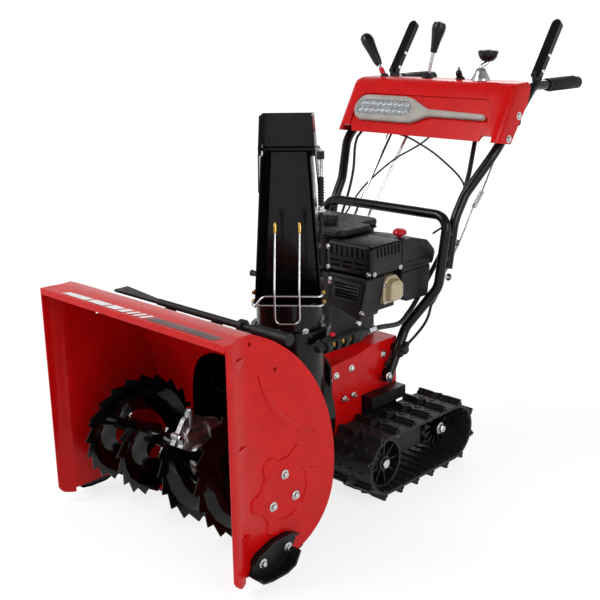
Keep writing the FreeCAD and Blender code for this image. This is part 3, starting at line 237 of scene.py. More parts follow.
RED_ENAMEL = enamel("red_baked_enamel", "C60B0C", "BC090A", 0.22, 0.28, 0.06, 0.012, 0.14)
BLACK_ENAMEL = enamel("black_gloss_enamel", "0B0A0B", "080708", 0.14, 0.24, 0.1, 0.03, 0.18)
SATIN_ENAMEL = enamel("black_satin_enamel", "111113", "0D0D0F", 0.36, 0.48, 0.0, 0.04, 0.22)
print("enamels:", RED_ENAMEL.name, BLACK_ENAMEL.name, SATIN_ENAMEL.name)

# %% [markdown]
# ## Moulded plastic
# Engine covers, knobs, wheels and the lamp bezel are injection-moulded. Tool makers etch
# a fine texture into the mould, which hides flow marks and makes the plastic look matt.
# The real texture is about 0.3 mm, too fine to show, so it is drawn at about 1 mm.

# %% Black, grey and red plastics
MOULD_GRAIN_MM = 1.0
MOULD_EDGE_MM = 0.8
HANDLED_MM = 35.0
SHEEN_MM = 12.0


def moulded(name, base, worn, low_rough, high_rough, grain_depth_mm=0.05):
    """Injection-moulded plastic: etched grain, slightly polished where it is handled."""
    material, tree = new_material(name)
    tone = two_tone(tree, HANDLED_MM, base, worn)
    rough = drift(tree, SHEEN_MM, low_rough, high_rough)
    grain = noise(tree, MOULD_GRAIN_MM, 0.0)
    surface(tree, tone, rough, [(grain, grain_depth_mm)], MOULD_EDGE_MM,
            Specular_IOR_Level=0.25)
    return material


BLACK_PLASTIC = moulded("black_moulded_nylon", "121214", "18181B", 0.38, 0.55)
GLOSSY_PLASTIC = moulded("black_polished_plastic", "0E0E10", "131316", 0.18, 0.30, 0.02)
GREY_PLASTIC = moulded("warm_grey_moulded_abs", "A59F98", "98928B", 0.35, 0.5)
RED_PLASTIC = moulded("red_moulded_plastic", "C3182A", "AE1422", 0.3, 0.42)
GRIP_RUBBER = moulded("black_soft_grip_rubber", "141416", "1B1B1D", 0.5, 0.65, 0.12)
print("plastics:", BLACK_PLASTIC.name, GLOSSY_PLASTIC.name, GREY_PLASTIC.name)

# %% [markdown]
# ## Plated and cast metal
# Bolts, rods and the wire guard are zinc plated: bright, a little cloudy, sometimes with a
# warm passivated tint. The auger gearbox is cast aluminium, left as it comes out of the
# sand, so its skin is grainy and its highlights are broad. To the shader both are metals,
# and only their tone, roughness and grain tell them apart.

# %% Zinc, chrome and yellow zinc
PLATE_FILM_MM = 8.0
PLATE_SHEEN_MM = 3.0
PLATE_GRAIN_MM = 0.8


def plated(name, base, cloudy, low_rough, high_rough):
    """Plated steel: a metal with a cloudy film and very light grinding marks."""
    material, tree = new_material(name)
    tone = two_tone(tree, PLATE_FILM_MM, base, cloudy)
    rough = drift(tree, PLATE_SHEEN_MM, low_rough, high_rough)
    surface(tree, tone, rough, [(noise(tree, PLATE_GRAIN_MM, 1.0), 0.02)], 0.4, Metallic=1.0)
    return material


ZINC = plated("bright_zinc_plate", "C9CBCD", "B3B5B6", 0.16, 0.30)
CHROME = plated("nickel_chrome_plate", "DEDFE1", "CFD0D2", 0.06, 0.14)
YELLOW_ZINC = plated("yellow_passivated_zinc", "C9A75A", "B28E48", 0.22, 0.34)
print("plated finishes:", ZINC.name, CHROME.name, YELLOW_ZINC.name)

# %% Cast aluminium, painted castings
SAND_GRAIN_MM = 1.6
CASTING_CLOUD_MM = 9.0


def cast_aluminium(name):
    """Sand-cast aluminium: pale grey metal with a grainy skin and dull hollows."""
    material, tree = new_material(name)
    grain = noise(tree, SAND_GRAIN_MM, 3.0)
    tone = two_tone(tree, CASTING_CLOUD_MM, "B9BABC", "8F9193")
    rough = node(tree, "MapRange", {"Value": grain}, From_Min=NOISE_LOW,
                 From_Max=NOISE_HIGH, To_Min=0.42, To_Max=0.6)
    surface(tree, tone, rough.outputs["Result"], [(grain, 0.3)], 1.5, Metallic=1.0)
    return material


CAST = cast_aluminium("sand_cast_aluminium")
ENGINE_CAST = enamel("black_painted_casting", "131314", "0D0D0E", 0.42, 0.58, 0.0, 0.25, 0.4)
BEIGE_ENAMEL = enamel("beige_baked_enamel", "B9A987", "A89878", 0.3, 0.42, 0.2, 0.04, 0.5)
print("castings:", CAST.name, ENGINE_CAST.name, BEIGE_ENAMEL.name)

# %% [markdown]
# ## Track rubber
# The tracks are moulded rubber. New rubber is nearly black with a dull bloom; the edges of
# the lugs scuff first and turn brownish grey, so an edge mask mixes that colour in.

# %% Track rubber
SCUFF_EDGE_MM = 2.0
SCUFF_MM = 14.0
BLOOM_MM = 40.0
RUBBER_GRAIN_MM = 1.5


def track_rubber(name):
    """Moulded rubber: charcoal, with scuffed, slightly brown lug edges."""
    material, tree = new_material(name)
    scuffed = node(tree, "Math", {0: edge_mask(tree, SCUFF_EDGE_MM),
                                  1: drift(tree, SCUFF_MM, 0.0, 1.0, 3.0)},
                   operation="MULTIPLY")
    tone = node(tree, "Mix", {"Factor": scuffed.outputs["Value"],
                              MIX_FIRST: two_tone(tree, BLOOM_MM, "151516", "1D1D1E")},
                data_type="RGBA")
    tone.inputs[MIX_SECOND].default_value = colour("3A3532")
    rough = drift(tree, 6.0, 0.5, 0.68)
    surface(tree, tone.outputs[MIX_RESULT], rough,
            [(noise(tree, RUBBER_GRAIN_MM, 3.0), 0.15)], 1.0, Specular_IOR_Level=0.3)
    return material


RUBBER = track_rubber("moulded_track_rubber")
print("track finish:", RUBBER.name)

# %% [markdown]
# ## Lens
# The lamp's lens is clear polycarbonate over two rows of LEDs. Such a thin sheet bends
# little light, so a transmissive shader with a faint ripple is enough.

# %% Lens polycarbonate
def clear_lens(name):
    """Clear polycarbonate with a fine moulded ripple."""
    material, tree = new_material(name)
    ripple = noise(tree, 2.5, 0.0)
    surface(tree, "F2F4F8", drift(tree, 10.0, 0.04, 0.1), [(ripple, 0.05)],
            IOR=1.58, Transmission_Weight=0.85)
    return material


LENS = clear_lens("clear_polycarbonate")
print("lens finish:", LENS.name)

# %% [markdown]
# ## Paint the CAD pieces
# A CAD piece keeps its shape, so it only needs its finish put in its material slot. The
# list goes finish by finish, as a paint shop would sort the parts on its racks.

# %% Finishes for the CAD pieces
FINISHES = {
    RED_ENAMEL: ["auger_housing", "chassis", "console"],
    BLACK_ENAMEL: ["impeller_drum", "auger_flights_left", "auger_flights_right", "impeller",
                   "chute_body", "deflector", "chute_base_ring", "lower_handle",
                   "upper_handle_left", "upper_handle_right",
                   "clutch_lever_left", "clutch_lever_right"],
    SATIN_ENAMEL: ["scraper_bar", "skid_shoe_left", "skid_shoe_right", "tool_clips",
                   "front_mount", "track_frame_left", "track_frame_right", "muffler_guard",
                   "auger_shaft"],
    BLACK_PLASTIC: ["chute_worm_box", "flex_shaft", "clean_out_tool", "idler_left",
                    "idler_right", "sprocket_left", "sprocket_right", "exhaust_shroud",
                    "air_box", "fuel_tank", "fuel_cap", "recoil_starter", "starter_grip",
                    "deflector_cable_end", "control_cables"],
    GLOSSY_PLASTIC: ["shift_lever", "deflector_lever", "throttle_lever", "handle_knobs"],
    GRIP_RUBBER: ["grip_left", "grip_right", "chute_crank"],
    GREY_PLASTIC: ["headlight_bezel"],
    RED_PLASTIC: ["choke_knob"],
    ZINC: ["chute_guard", "shift_rod", "front_axle", "rear_axle"],
    CAST: ["auger_gearbox"],
    ENGINE_CAST: ["engine_block"],
    BEIGE_ENAMEL: ["valve_cover"],
    RUBBER: ["track_left", "track_right"],
    LENS: ["headlight_lens"],
}


def paint(piece, material):
    """Give a whole piece one finish."""
    piece.data.materials.clear()
    piece.data.materials.append(material)


for material, names in FINISHES.items():
    for name in names:
        paint(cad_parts[name], material)
unpainted = set(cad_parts) - {n for names in FINISHES.values() for n in names}
print("CAD pieces without a finish:", sorted(unpainted))

# %% [markdown]
# ## Tools for new pieces
# Where a pressing or a moulding has more form than the CAD solid needs, a finer piece
# stands in for it. All of them are drawn in millimetres: x to the machine's left, y back
# from the housing's front edge, z up from the ground. A handful of mesh tools is enough:
# a plate cut to an outline, a loft between rings, a turned piece, and a cut.

# %% Places and directions
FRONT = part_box("auger_housing")[0][1]
CENTRE_Y = round(-FRONT * 1000, 3)
SIDES = ((1, "left"), (-1, "right"))
SIDE = Vector((1, 0, 0))
BACK = Vector((0, 1, 0))
UP = Vector((0, 0, 1))


def mm(x, y, z):
    """A point in millimetres from the housing's front edge, as metres in the frame."""
    return Vector((x / 1000, y / 1000 + FRONT, z / 1000))


def along(x, y, z, length_mm=1000.0):
    """A vector of a length in millimetres along a direction."""
    return Vector((x, y, z)).normalized() * length_mm / 1000


def spoke(turn):
    """The outward and the sideways direction at an angle, seen from the machine's side."""
    return (Vector((0, math.cos(turn), math.sin(turn))),
            Vector((0, -math.sin(turn), math.cos(turn))))


print("from the housing's front edge to the origin, mm:", CENTRE_Y)

# %% [markdown]
# ## Skins, plates and turned pieces
# A pressing, a moulding and a lathe part are all rings of points with a skin between them.
# Blender's own shapes could be stretched and joined instead. A loft written once makes
# them all, and a plate or a turned piece only has to say where its rings lie.

# %% Lofts, plates and turned pieces
def loft(bm, rings, capped=True):
    """Skin a row of rings that have as many points each."""
    rows = [[bm.verts.new(point) for point in ring] for ring in rings]
    for near, far in zip(rows, rows[1:]):
        for i in range(len(near)):
            j = (i + 1) % len(near)
            bm.faces.new((near[i], near[j], far[j], far[i]))
    if capped:
        bm.faces.new(rows[0][::-1])
        bm.faces.new(rows[-1])


def plate(bm, corners, thickness):
    """A flat plate: an outline of points carried along a vector."""
    loft(bm, [corners, [corner + thickness for corner in corners]])


def turned(bm, profile, foot, axis, sides=24):
    """Turn a profile of (radius, height) pairs in millimetres about an axis."""
    axis = Vector(axis).normalized()
    across = axis.orthogonal().normalized()
    other = axis.cross(across)
    rings = []
    for radius, height in profile:
        ring = []
        for i in range(sides):
            turn = 2 * math.pi * i / sides
            out = across * math.cos(turn) + other * math.sin(turn)
            ring.append(foot + axis * height / 1000 + out * max(radius, 0.01) / 1000)
        rings.append(ring)
    loft(bm, rings)


def box_between(bm, low, high):
    """A straight block between two corners, as a plate."""
    corners = [Vector((x, y, low.z)) for x, y in
               ((low.x, low.y), (high.x, low.y), (high.x, high.y), (low.x, high.y))]
    plate(bm, corners, Vector((0, 0, high.z - low.z)))


sample = bmesh.new()
turned(sample, [(5, 0), (5, 10)], mm(0, 0, 0), UP, 6)
print("faces of a plain hexagonal bar:", len(sample.faces))
sample.free()

# %% [markdown]
# ## Bars, bends and rounded outlines
# A curve with a bevel would draw a bar too. Carrying a ring along points keeps a bar in the
# same mesh as what it is welded to, and its section doesn't twist at a bend. Bending
# machines and press tools have round corners, so two small functions round them.

# %% Bars, bends and rounded outlines
def wire(bm, points, radius_mm, sides=10):
    """A round bar that follows points, its section carried along without twisting."""
    across = (points[1] - points[0]).orthogonal().normalized()
    rings = []
    for i, point in enumerate(points):
        before, after = points[max(i - 1, 0)], points[min(i + 1, len(points) - 1)]
        ahead = (after - before).normalized()
        across = (across - ahead * across.dot(ahead)).normalized()
        other = ahead.cross(across)
        rings.append([point + (across * math.cos(2 * math.pi * k / sides)
                               + other * math.sin(2 * math.pi * k / sides)) * radius_mm / 1000
                      for k in range(sides)])
    loft(bm, rings)


def bent(points, radius_mm, steps=6):
    """Round the corners of a line of points, as a bending machine would."""
    line = [points[0]]
    for before, corner, after in zip(points, points[1:], points[2:]):
        one, two = (before - corner), (after - corner)
        reach = min(radius_mm / 1000, one.length * 0.48, two.length * 0.48)
        start, end = corner + one.normalized() * reach, corner + two.normalized() * reach
        for i in range(steps + 1):
            share = i / steps
            line.append(start.lerp(corner, share).lerp(corner.lerp(end, share), share))
    return line + [points[-1]]


def rounded_outline(corners, steps=6):
    """Round the corners of a flat outline, given as (u, v, radius)."""
    points = []
    count = len(corners)
    for i, (u, v, radius) in enumerate(corners):
        corner = Vector((u, v))
        one = Vector(corners[i - 1][:2]) - corner
        two = Vector(corners[(i + 1) % count][:2]) - corner
        if radius == 0:
            points.append(corner)
            continue
        half = one.angle(two) / 2
        reach = min(radius / math.tan(half), one.length * 0.499, two.length * 0.499)
        start, end = corner + one.normalized() * reach, corner + two.normalized() * reach
        middle = corner + (one.normalized() + two.normalized()).normalized() * (
            reach / math.cos(half))
        reach_out = (start - middle).length
        for k in range(steps + 1):
            toward = (start - middle).lerp(end - middle, k / steps).normalized()
            points.append(middle + toward * reach_out)
    return points


print("points of a rounded square:",
      len(rounded_outline([(0, 0, 2), (9, 0, 2), (9, 9, 2), (0, 9, 2)])))

# %% [markdown]
# ## From mesh code to a piece
# Each piece is linked, shaded smooth with its sharp edges kept, and tied to the body that it
# moves with. No real edge is quite sharp, so a bevel can round them; modelled by hand, each
# edge would need its own faces. Holes are cut with exact booleans, which cope with faces
# that lie in one plane.

# %% Pieces, rounding and cuts
SHARP_ANGLE = math.radians(35)


def new_piece(name, bm, material, body, round_mm=0.0, replaced=(), segments=2):
    """Turn mesh code into a piece: link it, round its edges, shade it, make it ride."""
    bmesh.ops.recalc_face_normals(bm, faces=bm.faces)
    mesh = bpy.data.meshes.new(name)
    bm.to_mesh(mesh)
    bm.free()
    mesh.materials.append(material)
    mesh.shade_smooth()
    mesh.set_sharp_from_angle(angle=SHARP_ANGLE)
    piece = add_object(name, mesh)
    if round_mm:
        add_rounding(piece, round_mm, segments)
    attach(piece, body)
    for replaced_node in replaced:
        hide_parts(replaced_node)
    return piece


def add_rounding(piece, round_mm, segments=2):
    """Round a piece's sharp edges by a radius in millimetres."""
    rounding = piece.modifiers.new("rounded_edges", "BEVEL")
    rounding.width = round_mm / 1000
    rounding.segments = segments
    rounding.angle_limit = SHARP_ANGLE
    rounding.harden_normals = True


def keep_modified(piece):
    """Take the mesh that a piece's modifiers make as its own, and drop the modifiers."""
    graph = bpy.context.evaluated_depsgraph_get()
    mesh = bpy.data.meshes.new_from_object(piece.evaluated_get(graph))
    piece.modifiers.clear()
    piece.data = mesh


def cut_away(piece, cutters):
    """Cut closed meshes out of a piece and keep the result as its mesh."""
    for cutter in cutters:
        mesh = bpy.data.meshes.new("cutter")
        bmesh.ops.recalc_face_normals(cutter, faces=cutter.faces)
        cutter.to_mesh(mesh)
        cutter.free()
        tool = add_object("cutter", mesh)
        cut = piece.modifiers.new("cut", "BOOLEAN")
        cut.operation = "DIFFERENCE"
        cut.solver = "EXACT"
        cut.object = tool
        keep_modified(piece)
        piece.data.shade_smooth()
        piece.data.set_sharp_from_angle(angle=SHARP_ANGLE)
        bpy.data.objects.remove(tool)
    return piece


print("edges sharper than this are rounded, degrees:", round(math.degrees(SHARP_ANGLE)))

# %% [markdown]
# ## The auger housing
# The real housing is three pressings of 3 mm sheet: two side plates with a star-shaped ring
# pressed round the bearing, and a long barrel that runs from behind the auger up to the
# roof. Modelled as a skin without thickness and then solidified, it gets the even sheet
# edge that a press shop's part has. The round way into the impeller is cut afterwards.

# %% The housing's outline
AXIS_Y = (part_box("auger_shaft")[0][1] - FRONT) * 1000 + 12.0
AXIS_Z = (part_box("auger_shaft")[0][2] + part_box("auger_shaft")[1][2]) * 500
HALF_WIDTH = 301.5
SHEET = 3.0
BARREL = 150.0
FLARE = 12.0
THROAT = 42.0
BEND_Y = 21.6
EDGE_Y = SHEET / 2
ROOF_Z = 536.0
LIP_DROP = 13.0
ROOF_BACK = 74.0
FLOOR_START = AXIS_Y + 16.0
IMPELLER_Z = 210.0
DRUM_BORE = 168.0


def barrel_line(radius, steps=30):
    """The barrel and the tall back as (y, z) points, from the floor up to the roof."""
    start = math.asin((FLOOR_START - AXIS_Y) / radius) - math.pi / 2
    end = math.radians(-8.0)
    line = []
    for i in range(steps + 1):
        turn = start + (end - start) * i / steps
        line.append((AXIS_Y + radius * math.cos(turn), AXIS_Z + radius * math.sin(turn)))
    wide, tall = ROOF_BACK - AXIS_Y, ROOF_Z + SHEET - AXIS_Z
    toward = wide * math.cos(end) + tall * math.sin(end)
    large = (wide * wide + tall * tall + radius * radius - 2 * radius * toward) / (
        2 * (radius - toward))
    centre_y = AXIS_Y - (large - radius) * math.cos(end)
    centre_z = AXIS_Z - (large - radius) * math.sin(end)
    last = math.atan2(ROOF_Z + SHEET - centre_z, ROOF_BACK - centre_y)
    for i in range(1, steps + 1):
        turn = end + (last - end) * i / steps
        line.append((centre_y + large * math.cos(turn), centre_z + large * math.sin(turn)))
    return line


def tongue(y):
    """Height of a side strip's lower edge, which ends in front in a rounded tongue."""
    return 50.0 - math.sqrt(max(32.0 ** 2 - max(32.0 - y, 0.0) ** 2, 0.0))


def about_axis(x, radius, turn):
    """A point at a radius and an angle round the auger's axis."""
    return mm(x, AXIS_Y + radius * math.cos(turn), AXIS_Z + radius * math.sin(turn))


print("auger axis, mm behind the edge and up:", round(AXIS_Y, 1), round(AXIS_Z, 1))

# %% The housing's sheet metal
def build_housing():
    """Side plates, barrel, roof, front strips and lip as one skin, then made 3 mm thick."""
    bm = bmesh.new()
    line = barrel_line(BARREL)

    def face(points):
        bm.faces.new([bm.verts.new(mm(*point)) for point in points])

    for (y0, z0), (y1, z1) in zip(line, line[1:]):
        face([(-HALF_WIDTH, y0, z0), (HALF_WIDTH, y0, z0), (HALF_WIDTH, y1, z1),
              (-HALF_WIDTH, y1, z1)])
    wide = HALF_WIDTH + FLARE
    roof = ROOF_Z + SHEET * 0.6
    face([(-HALF_WIDTH, *line[-1]), (HALF_WIDTH, *line[-1]), (HALF_WIDTH, THROAT, roof),
          (-HALF_WIDTH, THROAT, roof)])
    face([(-HALF_WIDTH, THROAT, roof), (HALF_WIDTH, THROAT, roof), (wide, BEND_Y, ROOF_Z),
          (wide, EDGE_Y, ROOF_Z), (-wide, EDGE_Y, ROOF_Z), (-wide, BEND_Y, ROOF_Z)])
    face([(-wide, EDGE_Y, ROOF_Z), (wide, EDGE_Y, ROOF_Z), (wide, EDGE_Y, ROOF_Z - LIP_DROP),
          (-wide, EDGE_Y, ROOF_Z - LIP_DROP)])
    for side in (-1, 1):
        x, far = side * HALF_WIDTH, side * wide
        bottom = AXIS_Z - BARREL
        face([(x, THROAT, bottom), (x, AXIS_Y, bottom)] + [(x, y, z) for y, z in line]
             + [(x, THROAT, roof)])
        face([(x, THROAT, roof), (x, THROAT, bottom), (x, THROAT, tongue(THROAT)),
              (x + side * 6, 32, tongue(32)), (far, BEND_Y, tongue(BEND_Y)),
              (far, BEND_Y, ROOF_Z)])
        strip = [(far, y, tongue(y)) for y in (BEND_Y, 16, 11, 7, 4, 2, EDGE_Y)]
        face([(far, BEND_Y, ROOF_Z)] + strip + [(far, EDGE_Y, ROOF_Z)])
    bmesh.ops.remove_doubles(bm, verts=bm.verts, dist=0.0001)
    housing = new_piece("auger_housing_sheet", bm, RED_ENAMEL, "frame",
                        replaced=("auger_housing",))
    thick = housing.modifiers.new("sheet_thickness", "SOLIDIFY")
    thick.thickness = SHEET / 1000
    thick.offset = 0
    opening = bmesh.new()
    turned(opening, [(DRUM_BORE, 0), (DRUM_BORE, 170)], mm(0, 200, IMPELLER_Z), BACK, 64)
    for y, drop in ((69.0, 20.0), (135.0, 88.0)):
        for x in (-320.0, 290.0):
            box_between(opening, mm(x, y, ROOF_Z - drop), mm(x + 30, y + 8, ROOF_Z - drop + 8))
    return cut_away(housing, [opening])


housing = build_housing()
print("housing faces:", len(housing.data.polygons))

# %% [markdown]
# ## Pressed stiffening
# A press pushes a six-pointed star ring and a slim crescent out of each side plate, so that
# the thin sheet doesn't ring or bend. The ring is drawn by angle: its rim goes in and out
# six times while its hole stays round. Three small darts brace the bend of each front strip.

# %% Star ring
PRESSED_MM = 2.6
STAR_TURN = 63.0
STAR_HOLE = 0.395
STAR_ROOT = 0.505
STAR_POINT = 0.145
POINT_HALF = math.degrees(0.33)
POINT_SLOPE = math.degrees(0.2)


def star_reach(turn):
    """The star's outer edge by angle: a root circle with six flat-topped points."""
    offset = abs((math.degrees(turn) - STAR_TURN + 30.0) % 60.0 - 30.0)
    share = min(max((POINT_HALF - offset) / POINT_SLOPE, 0.0), 1.0)
    return BARREL * (STAR_ROOT + STAR_POINT * share)


def star_ring(bm, x0, x1, count=180):
    """The raised ring round the bearing, with sloping edges."""
    rows = []
    for i in range(count):
        turn = 2 * math.pi * i / count
        out, inner = star_reach(turn), BARREL * STAR_HOLE
        rows.append([mm(x, AXIS_Y + 4 + r * math.cos(turn), AXIS_Z + 2 + r * math.sin(turn))
                     for x, r in ((x0, inner), (x1, inner + 2.5), (x1, out - 2.5), (x0, out))])
    loft(bm, rows + rows[:1], capped=False)


print("star, mm from the axis:", BARREL * STAR_ROOT, BARREL * (STAR_ROOT + STAR_POINT))

# %% Crescents, darts and both side plates
def crescent(bm, x0, x1, steps=24):
    """A slim raised crescent that follows the tall back."""
    high = Vector((92.0, ROOF_Z - 85.0))
    low = Vector((AXIS_Y + 98.0, AXIS_Z + 102.0))
    across = (low - high).normalized()
    out = Vector((-across.y, across.x))
    rows = []
    for i in range(steps + 1):
        share = i / steps
        swell = math.sin(math.pi * share)
        middle = high.lerp(low, share) + out * (-30.0 * swell)
        half = 1.0 + 8.0 * swell
        row = []
        for x, reach in ((x0, -half), (x1, -half * 0.55), (x1, half * 0.55), (x0, half)):
            point = middle + out * reach
            row.append(mm(x, point.x, point.y))
        rows.append(row)
    loft(bm, rows)


def dart(bm, side, height):
    """A three-sided dart across the bend between a side plate and its front strip."""
    x, wide = side * HALF_WIDTH, side * (HALF_WIDTH + FLARE)
    tip, top = mm(x + side, THROAT + 18, height + 15), mm(wide, BEND_Y + 2, height + 15)
    back, foot = mm(x, THROAT, height + 15), mm(x + side * 2, THROAT - 2, height - 17)
    corners = [bm.verts.new(point) for point in (tip, top, back, foot)]
    for face in ((0, 1, 2), (0, 3, 1), (1, 3, 2), (0, 2, 3)):
        bm.faces.new([corners[k] for k in face])


def build_pressings():
    """The raised shapes on both side plates."""
    bm = bmesh.new()
    for side in (-1, 1):
        x0, x1 = side * (HALF_WIDTH + 1.0), side * (HALF_WIDTH + 1.0 + PRESSED_MM)
        star_ring(bm, x0, x1)
        crescent(bm, x0, x1)
        for height in (108.0, 300.0, 482.0):
            dart(bm, side, height)
    bmesh.ops.remove_doubles(bm, verts=bm.verts, dist=0.00001)
    return new_piece("housing_pressings", bm, RED_ENAMEL, "frame", 0.8)


pressings = build_pressings()
print("pressings:", pressings.name, len(pressings.data.polygons), "faces")

# %% [markdown]
# ## Wear strip and skid shoes
# What touches the ground is bolted on, because it wears: a strip along the barrel's lower
# edge, and a shoe on each side with a flat plate, a turned-out runner and an arched brace.
# They could be cut from blocks. Instead each is an outline with a few rounded corners,
# carried sideways, because that is how a press bends and cuts flat bar.

# %% Wear strip and skid shoes
def build_wear_strip():
    """A strip of steel that follows the barrel's lower edge."""
    bm = bmesh.new()
    ring = []
    for radius, shares in ((BARREL + 1.7, range(9)), (BARREL + 5.7, reversed(range(9)))):
        for k in shares:
            reach = 16.0 + 38.0 * k / 8
            ring.append((AXIS_Y + reach, AXIS_Z - math.sqrt(radius * radius - reach * reach)))
    plate(bm, [mm(-HALF_WIDTH, y, z) for y, z in ring], along(1, 0, 0, HALF_WIDTH * 2))
    return new_piece("wear_strip", bm, SATIN_ENAMEL, "frame", 0.8, ("scraper_bar",))


SHOE_LOW = 15.0


def build_skid_shoe(side, name):
    """The plate, the runner, the arch and the two bolts of one skid shoe."""
    face = side * (HALF_WIDTH + 1.5)
    shapes = (
        (5.0, [(52, 22, 0), (62, 4, 6), (87, 0, 12), (130, 0, 12), (155, 8, 10), (172, 37, 6),
               (182, 48, 6), (180, 66, 8), (158, 74, 8), (112, 74, 12), (66, 58, 8)]),
        (33.0, [(48, 18, 1), (60, 5, 6), (87, 0, 12), (130, 0, 12), (155, 8, 10), (171, 37, 2),
                (166, 39, 2), (151.5, 12.5, 8), (128.5, 5, 10), (88.5, 5, 10), (62, 10, 4),
                (52, 21, 1)]),
        (16.0, [(54, 44, 1), (66, 58, 8), (112, 74, 14), (158, 74, 12), (184, 64, 2),
                (182, 60, 2), (157, 69.5, 10), (113, 69.5, 12), (69, 54, 6), (58, 41.5, 1)]),
    )
    bm = bmesh.new()
    for width, corners in shapes:
        outline = [mm(face, p.x, SHOE_LOW + p.y) for p in rounded_outline(corners, 3)]
        plate(bm, outline, along(side, 0, 0, width))
    shoe = new_piece("skid_shoe_%s_pressed" % name, bm, SATIN_ENAMEL, "frame", 0.0,
                     ("skid_shoe_" + name,))
    bolts = bmesh.new()
    for y, z in ((86.0, 46.0), (158.0, 54.0)):
        spot = mm(face + side * 5.0, y, z)
        turned(bolts, [(11, 0), (11, 2), (9, 2.4)], spot, SIDE * side)
        turned(bolts, [(6.5, 2), (6.5, 7), (5.0, 8.2)], spot, SIDE * side, 6)
    new_piece("skid_shoe_%s_bolts" % name, bolts, ZINC, "frame", 0.4)
    return shoe


wear_strip = build_wear_strip()
shoes = [build_skid_shoe(side, name) for side, name in SIDES]
print("ground pieces:", wear_strip.name, [shoe.name for shoe in shoes])

# %% [markdown]
# ## The serrated augers
# Each scoop of a snow auger is a dished sheet swept about half a turn round the shaft, with
# saw teeth on its rim that climb slowly and then step back. Lofting one section per tooth
# flank gives both at once: the rim's radius jumps from section to section while the dish
# stays smooth. Scoops half a turn apart follow one helix, so each hands snow to the next.

# %% One scoop
SCOOP_SWEEP = math.radians(192.0)
SCOOP_START = math.radians(147.0)
SCOOP_TEETH = 11
SCOOP_TOOTH = 13.0
SCOOP_DISH = 21.0
SCOOP_SHEET = 3.0
SCOOP_PITCH = 120.0
SCOOP_TIP = (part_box("auger_flights_left")[1][2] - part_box("auger_flights_left")[0][2]) * 500
SCOOP_ROOT = SCOOP_TIP * 0.37


def scoop(bm, side, start_x, start_turn):
    """One dished, serrated scoop."""
    rings = []
    for i in range(2 * SCOOP_TEETH + 1):
        share = min((i // 2 + (0.82 if i % 2 else 0.0)) / SCOOP_TEETH, 1.0)
        turn = start_turn + SCOOP_SWEEP * share
        x = start_x + SCOOP_PITCH * SCOOP_SWEEP * share / (2 * math.pi)
        reach = SCOOP_TIP if i % 2 else SCOOP_TIP - SCOOP_TOOTH
        dish = SCOOP_DISH * min(1.0, 5.0 * share, 5.0 * (1.0 - share))
        near, far = [], []
        for k in range(10):
            portion = k / 9
            depth = math.sin(math.pi * min(portion * 1.15, 1.0)) - 0.1 * portion
            radius = SCOOP_ROOT + (SCOOP_TIP - SCOOP_TOOTH * 1.15 - SCOOP_ROOT) * portion
            if k == 9:
                radius = reach
            near.append((x + dish * depth - SCOOP_SHEET / 2, radius))
            far.append((x + dish * depth + SCOOP_SHEET / 2, radius))
        rings.append([about_axis(side * u, r, turn) for u, r in near + far[::-1]])
    loft(bm, rings)


print("scoop root and tip, mm:", round(SCOOP_ROOT, 1), round(SCOOP_TIP, 1))

# %% Both augers
def scoop_arm(bm, side, x, turn):
    """A flat arm from the sleeve out to the end of a scoop."""
    out, across = spoke(turn)
    across = across * 0.013
    centre = mm(side * x - 2.5, AXIS_Y, AXIS_Z)
    root, tip = out * 0.014, out * (SCOOP_ROOT + 12.0) / 1000
    plate(bm, [centre + root - across, centre + tip - across * 0.6, centre + tip + across * 0.6,
               centre + root + across], along(1, 0, 0, 5.0))


def build_auger(side, name):
    """A sleeve with its scoops and their arms."""
    bm = bmesh.new()
    first = 50.0 if side > 0 else 80.0
    limit = 280.0
    travel = SCOOP_PITCH * SCOOP_SWEEP / (2 * math.pi)
    for number in range(int((limit - travel - first) / (SCOOP_PITCH / 2)) + 1):
        x = first + SCOOP_PITCH / 2 * number
        turn = SCOOP_START + math.pi * number
        scoop(bm, side, x, turn)
        for share in (0.05, 0.95):
            scoop_arm(bm, side, x + travel * share, turn + SCOOP_SWEEP * share)
    turned(bm, [(18, 0), (19, 1.5), (19, limit - 51.5), (18, limit - 50.0)],
           mm(side * 50.0, AXIS_Y, AXIS_Z), SIDE * side)
    auger = new_piece("auger_" + name, bm, BLACK_ENAMEL, "auger", 0.0,
                      ("auger_flights_" + name,))
    pins = bmesh.new()
    for x in (92.0, 232.0):
        spot = mm(side * x, AXIS_Y, AXIS_Z)
        turned(pins, [(3.6, -34), (3.6, 30)], spot, (0, 0.4, 1))
        turned(pins, [(6.5, 24), (6.5, 29), (5.5, 30)], spot, (0, 0.4, 1), 6)
        turned(pins, [(6.5, -34), (6.5, -29), (5.5, -28)], spot, (0, 0.4, 1), 6)
    new_piece("auger_%s_shear_bolts" % name, pins, CHROME, "auger", 0.3)
    return auger


augers = [build_auger(side, name) for side, name in SIDES]
print("augers:", [auger.name for auger in augers])

# %% [markdown]
# ## The worm gearbox
# The gearbox between the augers is two aluminium castings bolted along a flange with lugs.
# It is mostly round, so most of it is turned about the auger shaft; a spine and a neck then
# carry it back to the impeller shaft. A small radius on every edge gives it its cast look.

# %% Gearbox
FLANGE_REACH = 58.0
FLANGE_BOLTS = 7


